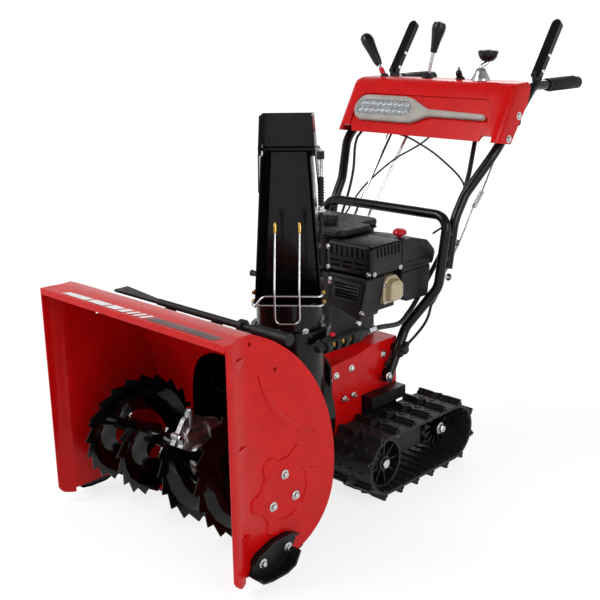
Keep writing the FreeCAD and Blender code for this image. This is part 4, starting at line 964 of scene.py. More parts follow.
def build_gearbox():
    """The case, its spine, its neck, the filler and the bolt lugs."""
    bm = bmesh.new()
    centre = mm(0, AXIS_Y, AXIS_Z)
    turned(bm, [(20, -44), (25, -43), (26, -31), (35, -29), (46, -21), (50, -7.5), (58, -7),
                (58, 7), (50, 7.5), (46, 21), (35, 29), (26, 31), (25, 43), (20, 44)],
           centre, SIDE, 48)
    rise = IMPELLER_Z - AXIS_Z
    for half, corners in (
            (7.0, ((-52, 26, 10), (-14, rise + 52, 14), (12, rise + 56, 10), (48, rise + 34, 10),
                   (76, rise + 27, 4), (76, rise - 27, 4), (20, -50, 20), (-30, -48, 20))),
            (19.0, ((-40, 24, 8), (-10, rise + 34, 14), (30, rise + 30, 10), (40, rise, 8),
                    (20, 0, 8)))):
        outline = [mm(-half, AXIS_Y + p.x, AXIS_Z + p.y) for p in rounded_outline(corners, 4)]
        plate(bm, outline, along(1, 0, 0, half * 2))
    turned(bm, [(24, 0), (26, 2), (26, 62), (32, 64), (32, 74), (26, 76), (26, 104)],
           mm(0, AXIS_Y - 24, IMPELLER_Z), BACK, 32)
    turned(bm, [(14, 0), (20, 3), (20, 30)], mm(0, AXIS_Y - 38, IMPELLER_Z), BACK, 32)
    turned(bm, [(11, 0), (11, 40), (9, 44), (9, 46)], mm(0, AXIS_Y + 4, IMPELLER_Z + 20), UP, 16)
    lugs = [math.radians(180 + 360 / FLANGE_BOLTS * i) for i in range(FLANGE_BOLTS)]
    for turn in lugs:
        turned(bm, [(7.5, 0), (8, 1), (8, 21), (7.5, 22)], about_axis(-11, FLANGE_REACH, turn),
               SIDE, 20)
    case = new_piece("auger_gearbox_casting", bm, CAST, "frame", 1.2, ("auger_gearbox",), 3)
    bolts = bmesh.new()
    for turn in lugs:
        for x, way in ((-11, -1), (11, 1)):
            turned(bolts, [(6.2, 0), (6.2, 4.4), (5.4, 5.4)], about_axis(x, FLANGE_REACH, turn),
                   SIDE * way, 6)
    turned(bolts, [(8.5, 0), (8.5, 5), (7.5, 6)], mm(0, AXIS_Y + 4, IMPELLER_Z + 66), UP, 6)
    new_piece("auger_gearbox_bolts", bolts, ZINC, "frame", 0.3)
    return case


gearbox = build_gearbox()
print("gearbox size, m:", [round(v, 3) for v in gearbox.dimensions])

# %% [markdown]
# ## Lip under the impeller's mouth
# The round impeller mouth cuts the curved barrel low down, and a short curved lip joins the
# two. A bent strip could be lofted in one go. Small flat plates on an arc, each overlapping
# its neighbour, follow the drum's edge as well and need no modifier.

# %% Mouth lip
def build_mouth_lip():
    """A trough along the lowest part of the drum's front edge."""
    bm = bmesh.new()
    radius = DRUM_BORE + 0.5
    front, back = 214.0, 256.0
    low_turn, high_turn, count = -124.0, -56.0, 16
    step = (high_turn - low_turn) / count
    for i in range(count):
        edges = [math.radians(low_turn + step * (i + k)) for k in (0.0, 1.04)]
        spots = [(radius * math.cos(a), IMPELLER_Z + radius * math.sin(a)) for a in edges]
        middle = math.radians(low_turn + step * (i + 0.5))
        (x0, z0), (x1, z1) = spots
        plate(bm, [mm(x0, front, z0), mm(x1, front, z1), mm(x1, back, z1), mm(x0, back, z0)],
              along(-math.cos(middle), 0, -math.sin(middle), 3.0))
    return new_piece("impeller_mouth_lip", bm, BLACK_ENAMEL, "frame")


mouth_lip = build_mouth_lip()
print("mouth lip, m:", [round(v, 3) for v in mouth_lip.dimensions])

# %% [markdown]
# ## Rubber tracks
# A track is an endless rubber belt. Outside it has stepped zigzag lugs and small square
# pads that keep snow from packing between them, inside it has drive bars for the sprocket.
# One function gives the place and direction at any distance round the loop, and everything
# on the belt is repeated with it.

# %% Round the belt's loop
WHEEL_Z = 88.0
WHEEL_GAP = 259.0
FRONT_WHEEL_Y = (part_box("front_axle")[0][1] - FRONT) * 1000 + 12.0
BELT_OUTER = 74.0
BELT_INNER = 66.0
TRACK_IN, TRACK_OUT = 134.0, 266.0
LUG_COUNT = 16
LUG_RISE = 14.0
BELT_STEPS = 96
ZIGZAG = ((0.0, 0.0), (0.3, 0.0), (0.4, -6.0), (0.5, 8.0), (0.6, -6.0), (0.7, 0.0), (1.0, 0.0))


def round_the_loop(distance, radius):
    """Point (y, z), outward and forward directions at a distance round the belt."""
    bend = math.pi * radius
    distance %= 2 * (WHEEL_GAP + bend)
    low_y, high_y = FRONT_WHEEL_Y, FRONT_WHEEL_Y + WHEEL_GAP
    if distance < WHEEL_GAP:
        return (low_y + distance, WHEEL_Z + radius), (0, 1), (1, 0)
    distance -= WHEEL_GAP
    if distance < bend:
        out = (math.sin(distance / radius), math.cos(distance / radius))
        return (high_y + out[0] * radius, WHEEL_Z + out[1] * radius), out, (out[1], -out[0])
    distance -= bend
    if distance < WHEEL_GAP:
        return (high_y - distance, WHEEL_Z - radius), (0, -1), (-1, 0)
    turn = (distance - WHEEL_GAP) / radius
    out = (-math.sin(turn), -math.cos(turn))
    return (low_y + out[0] * radius, WHEEL_Z + out[1] * radius), out, (out[1], -out[0])


print("track loop, mm:", round(2 * (WHEEL_GAP + math.pi * BELT_OUTER)))

# %% Belt, lugs, pads and drive bars
def build_track(side, name):
    """The belt, its lugs and pads outside and its drive bars inside."""
    bm = bmesh.new()
    width = TRACK_OUT - TRACK_IN
    near = side * TRACK_IN
    rings = []
    length = 2 * (WHEEL_GAP + math.pi * BELT_OUTER)
    for i in range(BELT_STEPS):
        (y, z), out, _ = round_the_loop(length * i / BELT_STEPS, BELT_OUTER)
        inner_y, inner_z = y - out[0] * 8.0, z - out[1] * 8.0
        rings.append([mm(x, *place) for x, place in (
            (near, (y, z)), (near + side * width, (y, z)),
            (near + side * width, (inner_y, inner_z)), (near, (inner_y, inner_z)))])
    loft(bm, rings + rings[:1], capped=False)
    pitch = length / LUG_COUNT

    def slab(distance, radius, outline, sink, rise):
        (y, z), out, ahead = round_the_loop(distance, radius)
        corners = [mm(near + side * width * share, y - out[0] * sink + ahead[0] * shift,
                      z - out[1] * sink + ahead[1] * shift) for share, shift in outline]
        plate(bm, corners, Vector((0, out[0], out[1])) * (rise + sink) / 1000)

    for i in range(LUG_COUNT):
        for half, rise in ((8.5, LUG_RISE * 0.45), (4.0, LUG_RISE)):
            outline = [(share, shift - half) for share, shift in ZIGZAG]
            outline += [(share, shift + half) for share, shift in reversed(ZIGZAG)]
            slab((i + 0.5) * pitch, BELT_OUTER, outline, 1.5, rise - 0.2)
        for share in (0.25, 0.5, 0.75):
            half = 5.0 / width
            slab((i + 1.0) * pitch, BELT_OUTER,
                 [(share - half, -5), (share + half, -5), (share + half, 5), (share - half, 5)],
                 1.5, 4.0)
    inner_pitch = 2 * (WHEEL_GAP + math.pi * BELT_INNER) / (2 * LUG_COUNT)
    for i in range(2 * LUG_COUNT):
        slab((i + 0.5) * inner_pitch, BELT_INNER,
             [(0.03, -2.5), (0.97, -2.5), (0.97, 2.5), (0.03, 2.5)], 4.0, 1.5)
    return new_piece("rubber_track_" + name, bm, RUBBER, "frame", 0.9, ("track_" + name,), 1)


print("lugs on a belt:", LUG_COUNT)

# %% [markdown]
# ## Track wheels
# The belt runs round a ribbed wheel in front and a toothed sprocket behind, both moulded
# in nylon. Spokes could be cut out of a disc. Here flat ribs are set round a turned drum
# instead, which is how the mould is made and gives thin, clean walls.

# %% Track wheels
WHEEL_REACH = 61.0
WHEEL_RIBS = 9
SPROCKET_TEETH = 12


def rib(bm, centre, turn, reach, half, x0, x1):
    """A flat rib on a wheel, from near the hub out to a reach."""
    out, across = spoke(turn)
    across = across * half / 1000
    start = centre + SIDE * x0 / 1000
    plate(bm, [start + out * 0.015 - across, start + out * reach / 1000 - across,
               start + out * reach / 1000 + across, start + out * 0.015 + across],
          along(1, 0, 0, x1 - x0))


def build_wheels(side, name):
    """The ribbed front wheel and the toothed rear sprocket of one track."""
    middle = (TRACK_IN + TRACK_OUT) / 2 * side
    centre = mm(middle, FRONT_WHEEL_Y, WHEEL_Z)
    half = 47.0
    outward = SIDE * side
    bm = bmesh.new()
    turned(bm, [(19, -half), (19, half)], centre, outward, 32)
    turned(bm, [(WHEEL_REACH - 6, -half), (WHEEL_REACH, -half), (WHEEL_REACH, half),
                (WHEEL_REACH - 6, half), (WHEEL_REACH - 6, -half + 0.1)], centre, outward, 48)
    turned(bm, [(16, half - 4), (WHEEL_REACH - 3, 0), (WHEEL_REACH - 3, -4), (10, half - 10)],
           centre, outward, 48)
    x0, x1 = sorted((0.0, side * half * 0.86))
    for i in range(WHEEL_RIBS):
        rib(bm, centre, 2 * math.pi * i / WHEEL_RIBS, WHEEL_REACH - 4, 2.0, x0, x1)
    idler = new_piece("front_wheel_" + name, bm, BLACK_PLASTIC, "frame", 0.8, ("idler_" + name,))
    caps = bmesh.new()
    turned(caps, [(13, 0), (13, 3), (11, 7), (5, 10), (0.5, 10.5)],
           centre + along(side, 0, 0, half), outward)
    centre = mm(side * (TRACK_IN + 50.0), FRONT_WHEEL_Y + WHEEL_GAP, WHEEL_Z)
    bm = bmesh.new()
    turned(bm, [(23, -21), (23, 21)], centre, outward, 32)
    turned(bm, [(38, -14), (38, 14)], centre, outward, 48)
    for x0 in (-21.0, 15.0):
        turned(bm, [(WHEEL_REACH - 12, 0), (WHEEL_REACH - 12, 6)],
               centre + along(1, 0, 0, 1.0) * x0, SIDE, 48)
        for i in range(SPROCKET_TEETH):
            rib(bm, centre, 2 * math.pi * i / SPROCKET_TEETH, WHEEL_REACH - 0.5, 5.0,
                x0, x0 + 6.0)
    new_piece("rear_sprocket_" + name, bm, BLACK_PLASTIC, "frame", 0.8, ("sprocket_" + name,))
    spot = mm(side * 222.0, FRONT_WHEEL_Y + WHEEL_GAP, WHEEL_Z)
    turned(caps, [(16, -4), (16, -1), (13, -0.5)], spot, outward, 24)
    turned(caps, [(11, -1), (11, 6), (9, 8)], spot, outward, 6)
    for y in (590.0, 615.0, 640.0):
        spot = mm(side * 211.0, y, 124.0)
        turned(caps, [(8.5, 0), (8.5, 1.6), (7, 2)], spot, outward, 20)
        turned(caps, [(5.8, 1.6), (5.8, 6), (4.8, 7)], spot, outward, 6)
    new_piece("track_bolts_" + name, caps, ZINC, "frame", 0.3)
    return idler


for side, name in SIDES:
    track = build_track(side, name)
    wheel = build_wheels(side, name)
    print("track pieces:", track.name, wheel.name)

# %% [markdown]
# ## Engine covers
# Round the engine sit five covers: a slotted steel guard over the muffler, a louvred shroud
# before the cylinder, the air cleaner with its lid, the fuel tank and the pull starter. Each
# is an outline carried across the engine, softened at its moulded edges; slots are cut last,
# so that the softening leaves them crisp.

# %% Tools for covers
DECK = (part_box("chassis")[1][2]) * 1000 + 4.0
ENGINE_Y = (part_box("recoil_starter")[0][1] - FRONT) * 1000 + 14.0 - 28.0


def cover(name, corners, plane, start, length, material, node_name=None):
    """A moulded cover: an outline in one plane, carried along the plane's normal."""
    def place(u, v, w):
        x, y, z = {"xz": (u, w, v), "yz": (w, u, v), "xy": (u, v, w)}[plane]
        return mm(x, ENGINE_Y + y, DECK + z)
    bm = bmesh.new()
    points = rounded_outline(corners, 5)
    loft(bm, [[place(p.x, p.y, start) for p in points],
              [place(p.x, p.y, start + length) for p in points]])
    piece = new_piece(name, bm, material, "frame", 0.0, (node_name,) if node_name else ())
    return piece, place


def cutter_of(place, boxes):
    """Straight cutters in one mesh, between corners in a cover's own coordinates."""
    bm = bmesh.new()
    for low, high in boxes:
        a, b = place(*low), place(*high)
        box_between(bm, Vector([min(p, q) for p, q in zip(a, b)]),
                    Vector([max(p, q) for p, q in zip(a, b)]))
    return bm


def soften(piece, round_mm, segments=3):
    """Round a cover's edges and keep the rounded mesh, so that slots stay crisp."""
    add_rounding(piece, round_mm, segments)
    keep_modified(piece)


print("engine's front and deck, mm:", round(ENGINE_Y, 1), round(DECK, 1))

# %% Muffler guard and louvred shroud
def build_muffler_guard():
    """The slotted guard: a thin hollow box with rows of slots in front and at the side."""
    guard, place = cover("muffler_guard_sheet", [(50, 192, 0), (192, 192, 0), (192, 267, 15),
                                                 (50, 267, 15)],
                         "xz", 0.0, 116.0, SATIN_ENAMEL, "muffler_guard")
    soften(guard, 9.0)
    inside = cutter_of(place, [((54, 180, 3), (189, 263, 113))])
    slots = [((66 + 16 * i, 233, -2), (72 + 16 * i, 258, 8)) for i in range(7)]
    slots += [((64 + 38 * i, v, -2), (94 + 38 * i, v + 5, 8)) for i in range(3)
              for v in (206, 218)]
    slots += [((180, 237, 20 + 13 * i), (200, 258, 25.5 + 13 * i)) for i in range(7)]
    return cut_away(guard, [inside, cutter_of(place, slots)])


def build_shroud():
    """The louvred shroud in front of the cylinder."""
    shroud, place = cover("louvred_shroud", [(55, 109, 4), (101, 93, 8), (151, 80, 8),
                                             (176, 186, 8), (55, 186, 4)],
                          "xz", 4.0, 71.0, BLACK_PLASTIC, "exhaust_shroud")
    soften(shroud, 5.0)
    panel, _ = cover("shroud_panel", [(70, 128, 4), (154, 118, 4), (162, 172, 4), (70, 176, 4)],
                     "xz", 0.5, 6.0, BLACK_PLASTIC)
    soften(panel, 1.5, 2)
    louvres = [((78, 130 + 8 * i, -1), (150, 134 + 8 * i, 4)) for i in range(5)]
    cut_away(panel, [cutter_of(place, louvres)])
    return shroud


covers = [build_muffler_guard(), build_shroud()]
print("covers before the cylinder:", [piece.name for piece in covers])

# %% [markdown]
# ## Air cleaner and fuel tank
# Both are moulded in halves that meet at a seam. One softened block would lose that seam,
# so each half is a cover of its own, with a thin flange between them.

# %% Air cleaner and fuel tank
def build_air_box():
    """The air cleaner: a base, a seam and a lid that slopes down behind."""
    base, _ = cover("air_cleaner_base", [(139, 120, 6), (160, 99, 10), (246, 97, 12),
                                         (254, 176, 4), (139, 176, 4)],
                    "yz", 50.0, 122.0, BLACK_PLASTIC, "air_box")
    soften(base, 6.0)
    cover("air_cleaner_seam", [(142, 174, 2), (251, 174, 2), (251, 182, 2), (142, 182, 2)],
          "yz", 55.0, 114.0, BLACK_PLASTIC)
    lid, place = cover("air_cleaner_lid", [(136, 180, 3), (259, 180, 6), (268, 204, 8),
                                           (266, 214, 8), (236, 243, 14), (170, 258, 12),
                                           (136, 258, 8)],
                       "yz", 50.0, 125.0, BLACK_PLASTIC)
    soften(lid, 7.0)
    ribs = [((150, 186 + 14 * i, 173), (250, 190 + 14 * i, 178)) for i in range(2)]
    return cut_away(lid, [cutter_of(place, ribs)])


def build_tank():
    """The fuel tank in two shells with a flange between them, a neck and a ribbed cap."""
    tank, _ = cover("fuel_tank_lower", [(-165, 20, 26), (46, 20, 26), (46, 200, 26),
                                        (-165, 200, 26)], "xy", 181.0, 88.0, BLACK_PLASTIC,
                    "fuel_tank")
    soften(tank, 6.0)
    flange, _ = cover("fuel_tank_seam", [(-170, 14, 28), (52, 14, 28), (52, 205, 28),
                                         (-170, 205, 28)], "xy", 264.0, 4.0, BLACK_PLASTIC)
    soften(flange, 1.2, 2)
    upper, _ = cover("fuel_tank_upper", [(-172, 16, 24), (86, 16, 24), (86, 132, 16),
                                         (48, 132, 6), (48, 204, 20), (-172, 204, 24)],
                     "xy", 268.5, 17.5, BLACK_PLASTIC)
    soften(upper, 7.0)
    bm = bmesh.new()
    foot = mm(-12, ENGINE_Y + 75, DECK + 284)
    turned(bm, [(22, 0), (20, 2), (20, 8)], foot, UP, 32)
    turned(bm, [(27, 7), (27, 12), (24, 13), (24, 23), (21, 25), (6, 25)], foot, UP, 40)
    for i in range(18):
        turn = math.pi * i / 9
        turned(bm, [(2.4, 12), (2.4, 21), (1, 23)],
               foot + Vector((math.cos(turn), math.sin(turn), 0)) * 0.024, UP, 8)
    new_piece("fuel_cap_ribbed", bm, BLACK_PLASTIC, "frame", 0.0, ("fuel_cap",))
    return tank


shells = [build_air_box(), build_tank()]
print("shells:", [piece.name for piece in shells])

# %% [markdown]
# ## Pull starter
# A rope reel sits under a dished cover whose slots let cooling air in. The dish is round, so
# it is turned like a bowl, and a ring of flat cutters opens the slots in it.

# %% Pull starter
STARTER_SLOTS = 14


def build_starter():
    """The pull starter's dished cover with radial slots, and its T grip."""
    bm = bmesh.new()
    foot = mm(-120, ENGINE_Y + 93, DECK + 80)
    turned(bm, [(82, 0), (82, 20), (78, 38), (60, 49), (34, 53), (2, 54)], foot, -SIDE, 56)
    piece = new_piece("pull_starter_cover", bm, BLACK_PLASTIC, "frame", 0.0, ("recoil_starter",))
    slots = bmesh.new()
    for i in range(STARTER_SLOTS):
        out, across = spoke(2 * math.pi * i / STARTER_SLOTS)
        across = across * 0.0025
        start = foot - SIDE * 0.062
        plate(slots, [start + out * 0.036 - across, start + out * 0.066 - across,
                      start + out * 0.066 + across, start + out * 0.036 + across],
              along(1, 0, 0, 22))
    cut_away(piece, [slots])
    bm = bmesh.new()
    turned(bm, [(26, 0), (24, 4), (10, 6), (9, 3), (2, 3)], foot + along(-1, 0, 0, 53), -SIDE, 32)
    new_piece("pull_starter_badge", bm, GREY_PLASTIC, "frame", 0.5)
    bm = bmesh.new()
    turned(bm, [(5, 0), (8.5, 3), (7, 18), (6.5, 27), (7, 36), (8.5, 51), (5, 54)],
           mm(-185, ENGINE_Y - 30, DECK + 150), SIDE, 20)
    turned(bm, [(4, 0), (6, 12), (6, 90)], mm(-158, ENGINE_Y - 26, DECK + 150), BACK, 16)
    return new_piece("pull_starter_grip", bm, BLACK_PLASTIC, "frame", 0.0, ("starter_grip",))


starter_grip = build_starter()
print("starter grip:", starter_grip.name)

# %% [markdown]
# ## The control console
# The console is one steel pressing, open below and behind, with a shallow panel pressed
# into its sloping front. It is built as a solid outline carried across the machine, its
# long edges rounded, and then the panel and the hollow are cut out of it, which leaves the
# sheet. Everything on its front is drawn in that sloping plane, as (across, up, outward).

# %% The console's sloping front
CONSOLE_LOW, CONSOLE_HIGH = [corner.z * 1000 for corner in map(Vector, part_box("console"))]
CONSOLE_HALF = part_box("console")[1][0] * 1000
CONSOLE_SHEET = 3.0
ROUNDED_BEFORE_Y = 0.385
SLOPE_Y = CENTRE_Y + 281.0
SLOPE_Z = CONSOLE_LOW + 41.0
LEAN = math.radians(30.0)


def on_slope(u, v, n):
    """A point in the plane of the console's sloping front, in millimetres."""
    return mm(u, SLOPE_Y + v * math.sin(LEAN) - n * math.cos(LEAN),
              SLOPE_Z + v * math.cos(LEAN) + n * math.sin(LEAN))


OUT_OF_SLOPE = Vector((0, -math.cos(LEAN), math.sin(LEAN)))


def slope_plate(bm, corners, n0, n1, steps=6):
    """A plate in the sloping plane, from one height to another."""
    outline = [on_slope(p.x, p.y, n0) for p in rounded_outline(corners, steps)]
    plate(bm, outline, OUT_OF_SLOPE * (n1 - n0) / 1000)


print("the front leans back by, degrees:", round(math.degrees(LEAN)))

# %% Console pressing
def console_block(half, section, round_mm):
    """The outline of the console carried across, its upper edges and ends rounded."""
    bm = bmesh.new()
    plate(bm, [mm(-half, CENTRE_Y + y, z) for y, z in section], along(1, 0, 0, half * 2))
    wanted = []
    for edge in bm.edges:
        low, high = sorted((v.co for v in edge.verts), key=lambda co: co.z)
        front = max(v.co.y for v in edge.verts) < ROUNDED_BEFORE_Y
        across = abs(low.x - high.x) > 0.1
        top = low.z > (CONSOLE_HIGH - 12.0) / 1000
        if (across and top and front) or (not across and high.z > low.z + 0.08 and front) or (
                not across and top):
            wanted.append(edge)
    bmesh.ops.bevel(bm, geom=wanted, offset=round_mm / 1000, segments=6, profile=0.5,
                    affect="EDGES", clamp_overlap=True)
    return bm


def build_console():
    """The pressing with its panel and its hollow."""
    low, top = CONSOLE_LOW, CONSOLE_HIGH
    bm = console_block(CONSOLE_HALF, [(263.1, low + 10), (343.9, top), (420, top),
                                      (402, low + 96), (331, low)], 22.0)
    console = new_piece("console_pressing", bm, RED_ENAMEL, "frame", 0.0, ("console",))
    hollow = console_block(CONSOLE_HALF - CONSOLE_SHEET, [(258.0, low - 20), (348.0, top - 3.5),
                                                          (440, top - 3.5), (440, low - 20)],
                           22.0 - CONSOLE_SHEET)
    panel = bmesh.new()
    slope_plate(panel, [(-222, -70, 0), (222, -70, 0), (222, 79, 30), (-222, 79, 30)],
                -4.0, 40.0, 8)
    notch = bmesh.new()
    for side in (-1, 1):
        slope_plate(notch, [(side * 198, -60, 0), (side * 216, -17, 8), (side * 247, -17, 8),
                            (side * 252, -60, 0)], -40.0, 40.0, 3)
    return cut_away(console, [hollow, panel, notch])


console = build_console()
print("console faces:", len(console.data.polygons))

# %% [markdown]
# ## The work lamp
# The lamp is a long moulded bezel with a stem, and a clear lens over two rows of LEDs, each
# in its own bright cup. A lens needs something behind it to look like a lamp, so the cups
# are real turned pieces under a thin clear cover.

# %% Work lamp
def build_lamp():
    """The bezel with its seat, the reflector cups and the clear lens."""
    bm = bmesh.new()
    slope_plate(bm, [(-215.4, -2, 36.2), (-14, -2, 40), (36, 20, 50), (212, 20, 6.8),
                     (212, 34, 6.8), (34, 39, 60), (-28, 67, 60), (-48, 71, 20),
                     (-215.4, 71, 36.2)], -3.7, 10.3, 10)
    bezel = new_piece("headlight_bezel_moulding", bm, GREY_PLASTIC, "frame", 0.0,
                      ("headlight_bezel",))
    soften(bezel, 3.5)
    seat = bmesh.new()
    slope_plate(seat, [(-206, 13.7, 21.2), (-19, 13.7, 21.2), (-19, 56.3, 21.2),
                       (-206, 56.3, 21.2)], 2.0, 30.0, 10)
    cut_away(bezel, [seat])
    cups = bmesh.new()
    lights = bmesh.new()
    for row in (25.5, 44.5):
        for i in range(9):
            foot = on_slope(-112.5 + (i - 4) * 19.0, row, 2.0)
            turned(cups, [(2, 0), (5, 0.6), (7.8, 3.0), (8.8, 6.0), (9.0, 6.0), (9.0, 0)],
                   foot, OUT_OF_SLOPE, 24)
            turned(lights, [(2.6, 0.6), (2.6, 1.6), (1.4, 2.4)], foot, OUT_OF_SLOPE, 12)
    new_piece("headlight_reflectors", cups, CHROME, "frame")
    new_piece("headlight_leds", lights, GREY_PLASTIC, "frame")
    glass = bmesh.new()
    slope_plate(glass, [(-205.6, 14.2, 20.8), (-19.4, 14.2, 20.8), (-19.4, 55.8, 20.8),
                        (-205.6, 55.8, 20.8)], 8.2, 9.6, 10)
    return new_piece("headlight_cover", glass, LENS, "frame", 0.4, ("headlight_lens",))


lamp = build_lamp()
print("lamp cover size, m:", [round(v, 3) for v in lamp.dimensions])

# %% [markdown]
# ## Levers and crank
# Four controls stand on the console: the chute crank with its mushroom knob, the throttle,
# the speed lever and the deflector lever. Their rods are plated steel, their knobs are
# moulded and turned about one axis, and a rubber boot or collar closes the hole round each.

# %% Levers, crank and throttle
def build_controls():
    """Rods, knobs and boots of the four controls, with the crank's cone and arm."""
    rods, knobs, boots, sleeve = bmesh.new(), bmesh.new(), bmesh.new(), bmesh.new()
    lean = Vector((0.24, 0.02, 0.97))
    foot = mm(-46, CENTRE_Y + 396, CONSOLE_HIGH)
    turned(rods, [(5, 4), (5, 90)], foot, lean, 16)
    turned(knobs, [(9, 70), (10, 80), (13, 102), (18.5, 130), (18.3, 141), (14, 150), (5, 153.5)],
           foot, lean, 28)
    turned(boots, [(16, 0), (16.5, 2), (15, 5), (11, 8), (11.5, 10), (8, 13), (6.5, 18)],
           foot, UP, 28)
    lean = Vector((-0.52, -0.04, 0.85))
    foot = mm(-200, CENTRE_Y + 400, CONSOLE_HIGH)
    turned(rods, [(4.5, 4), (4.5, 64)], foot, lean, 16)
    turned(sleeve, [(6, 6), (7.2, 10), (7, 22), (5.5, 27)], foot, lean, 20)
    turned(knobs, [(9, 36), (12, 48), (15, 84), (18.5, 112), (17, 125), (12, 132), (4, 135)],
           foot, lean, 28)
    turned(boots, [(12, 0), (11, 3), (8, 8)], foot, UP, 24)
    foot = mm(62, CENTRE_Y + 395, CONSOLE_HIGH)
    wire(rods, bent([foot, foot + Vector((0, 0, 0.018)), foot + Vector((0.003, -0.012, 0.03))],
                    8), 3.4)
    turned(knobs, [(6, 6), (9, 14), (7.5, 24), (3, 28)], foot, (0.1, -0.5, 0.85), 20)
    turned(boots, [(13, 0), (12, 4), (6, 9), (4.5, 12)], foot, UP, 24)
    crank = mm(130, CENTRE_Y + 390, CONSOLE_HIGH)
    wire(rods, bent([crank + Vector((0, 0, 0.026)), crank + Vector((0, 0, 0.036)),
                     crank + Vector((0.010, 0.015, 0.044)), crank + Vector((0.010, 0.015, 0.056))],
                    6), 5.5, 14)
    turned(rods, [(25, 0), (24.5, 3), (22, 8), (16, 20), (12.5, 28), (9, 31)], crank, UP, 36)
    turned(knobs, [(8, 46), (16, 49), (22, 56), (26.3, 68), (25.4, 74), (20, 77), (6, 78.5)],
           crank + Vector((0.010, 0.015, 0)), UP, 36)
    new_piece("control_rods", rods, ZINC, "frame", 0.0,
              ("shift_lever", "deflector_lever", "throttle_lever", "chute_crank"))
    new_piece("control_knobs", knobs, GLOSSY_PLASTIC, "frame")
    new_piece("control_boots", boots, GRIP_RUBBER, "frame")
    return new_piece("deflector_lever_sleeve", sleeve, RED_PLASTIC, "frame")


lever_sleeve = build_controls()
print("sleeve on the deflector lever:", lever_sleeve.name)

# %% [markdown]
# ## Clutch levers
# The two levers that engage the tracks and the augers are steel channels with a round end.
# Bending a flat outline would need a modifier; cutting a smaller outline out of a larger
# one leaves the same even wall in one step.

# %% Clutch levers
def build_clutch_lever(side, name):
    """A pressed channel with a round end, standing up from the bend of the handle."""
    x = side * (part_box("clutch_lever_left")[0][0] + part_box("clutch_lever_left")[1][0]) * 500
    base, top = mm(x, CENTRE_Y + 484, 957), mm(x, CENTRE_Y + 576, 1086)
    ahead = (top - base).normalized()
    out = Vector((0, ahead.z, -ahead.y))
    wide, deep, wall = 0.013, 0.008, 0.0022
    length = (top - base).length

    def outline(half, reach, start):
        flat = [(-half, start), (half, start)]
        flat += [(half * math.cos(math.pi * k / 12), reach + half * math.sin(math.pi * k / 12))
                 for k in range(13)]
        return flat

    bm = bmesh.new()
    plate(bm, [base - out * deep + SIDE * u + ahead * v
               for u, v in outline(wide, length, 0.0)], out * deep * 2)
    lever = new_piece("clutch_lever_%s_channel" % name, bm, BLACK_ENAMEL, "frame", 0.0,
                      ("clutch_lever_" + name,))
    inside = bmesh.new()
    plate(inside, [base - out * (deep - wall) + SIDE * u + ahead * v
                   for u, v in outline(wide - wall, length, -0.01)], out * deep * 3)
    cut_away(lever, [inside])
    pivot = bmesh.new()
    box_between(pivot, mm(x - 6, CENTRE_Y + 474, 945), mm(x + 6, CENTRE_Y + 506, 971))
    new_piece("clutch_lever_%s_pivot" % name, pivot, SATIN_ENAMEL, "frame", 1.5)
    screws = bmesh.new()
    for share in (0.12, 0.42):
        for way in (-1, 1):
            spot = base.lerp(top, share) + SIDE * way * wide
            turned(screws, [(5.5, 0), (5.2, 2), (3.4, 3.4), (1, 3.6)], spot, SIDE * way, 18)
    new_piece("clutch_lever_%s_screws" % name, screws, CHROME, "frame")
    return lever


levers = [build_clutch_lever(side, name) for side, name in SIDES]
print("clutch levers:", [lever.name for lever in levers])

# %% [markdown]
# ## On the chute
# The chute turns about its ring, so everything on it is drawn in the chute's own frame:
# along the hinge, away from the open side, and up from the ring. A wire guard with brass
# coloured nuts closes the mouth low down. Its rods are bent bar, so they follow points with
# rounded corners.

# %% The chute's own frame
CHUTE_AXIS = (105.0, 383.0)
CHUTE_TURN = math.radians(40.0)
RING_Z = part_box("chute_base_ring")[0][2] * 1000 + 5.5


def on_chute(across, back, up):
    """A point in the chute's frame: along the hinge, away from the open side, up."""
    return mm(CHUTE_AXIS[0] + across * math.cos(CHUTE_TURN) - back * math.sin(CHUTE_TURN),
              CHUTE_AXIS[1] + across * math.sin(CHUTE_TURN) + back * math.cos(CHUTE_TURN),
              RING_Z + up)


ALONG_HINGE = Vector((math.cos(CHUTE_TURN), math.sin(CHUTE_TURN), 0))
OPEN_SIDE = Vector((math.sin(CHUTE_TURN), -math.cos(CHUTE_TURN), 0))


CHANNEL_FOOT, CHANNEL_TOP = 61.0, 394.0
FOOT_WIDTH, TOP_WIDTH = 152.0, 108.0


def chute_half(up):
    """Half the chute's width at a height above the ring."""
    share = (up - CHANNEL_FOOT) / (CHANNEL_TOP - CHANNEL_FOOT)
    return (FOOT_WIDTH * (1 - share) + TOP_WIDTH * share) / 2


print("chute ring, mm up:", round(RING_Z, 1))

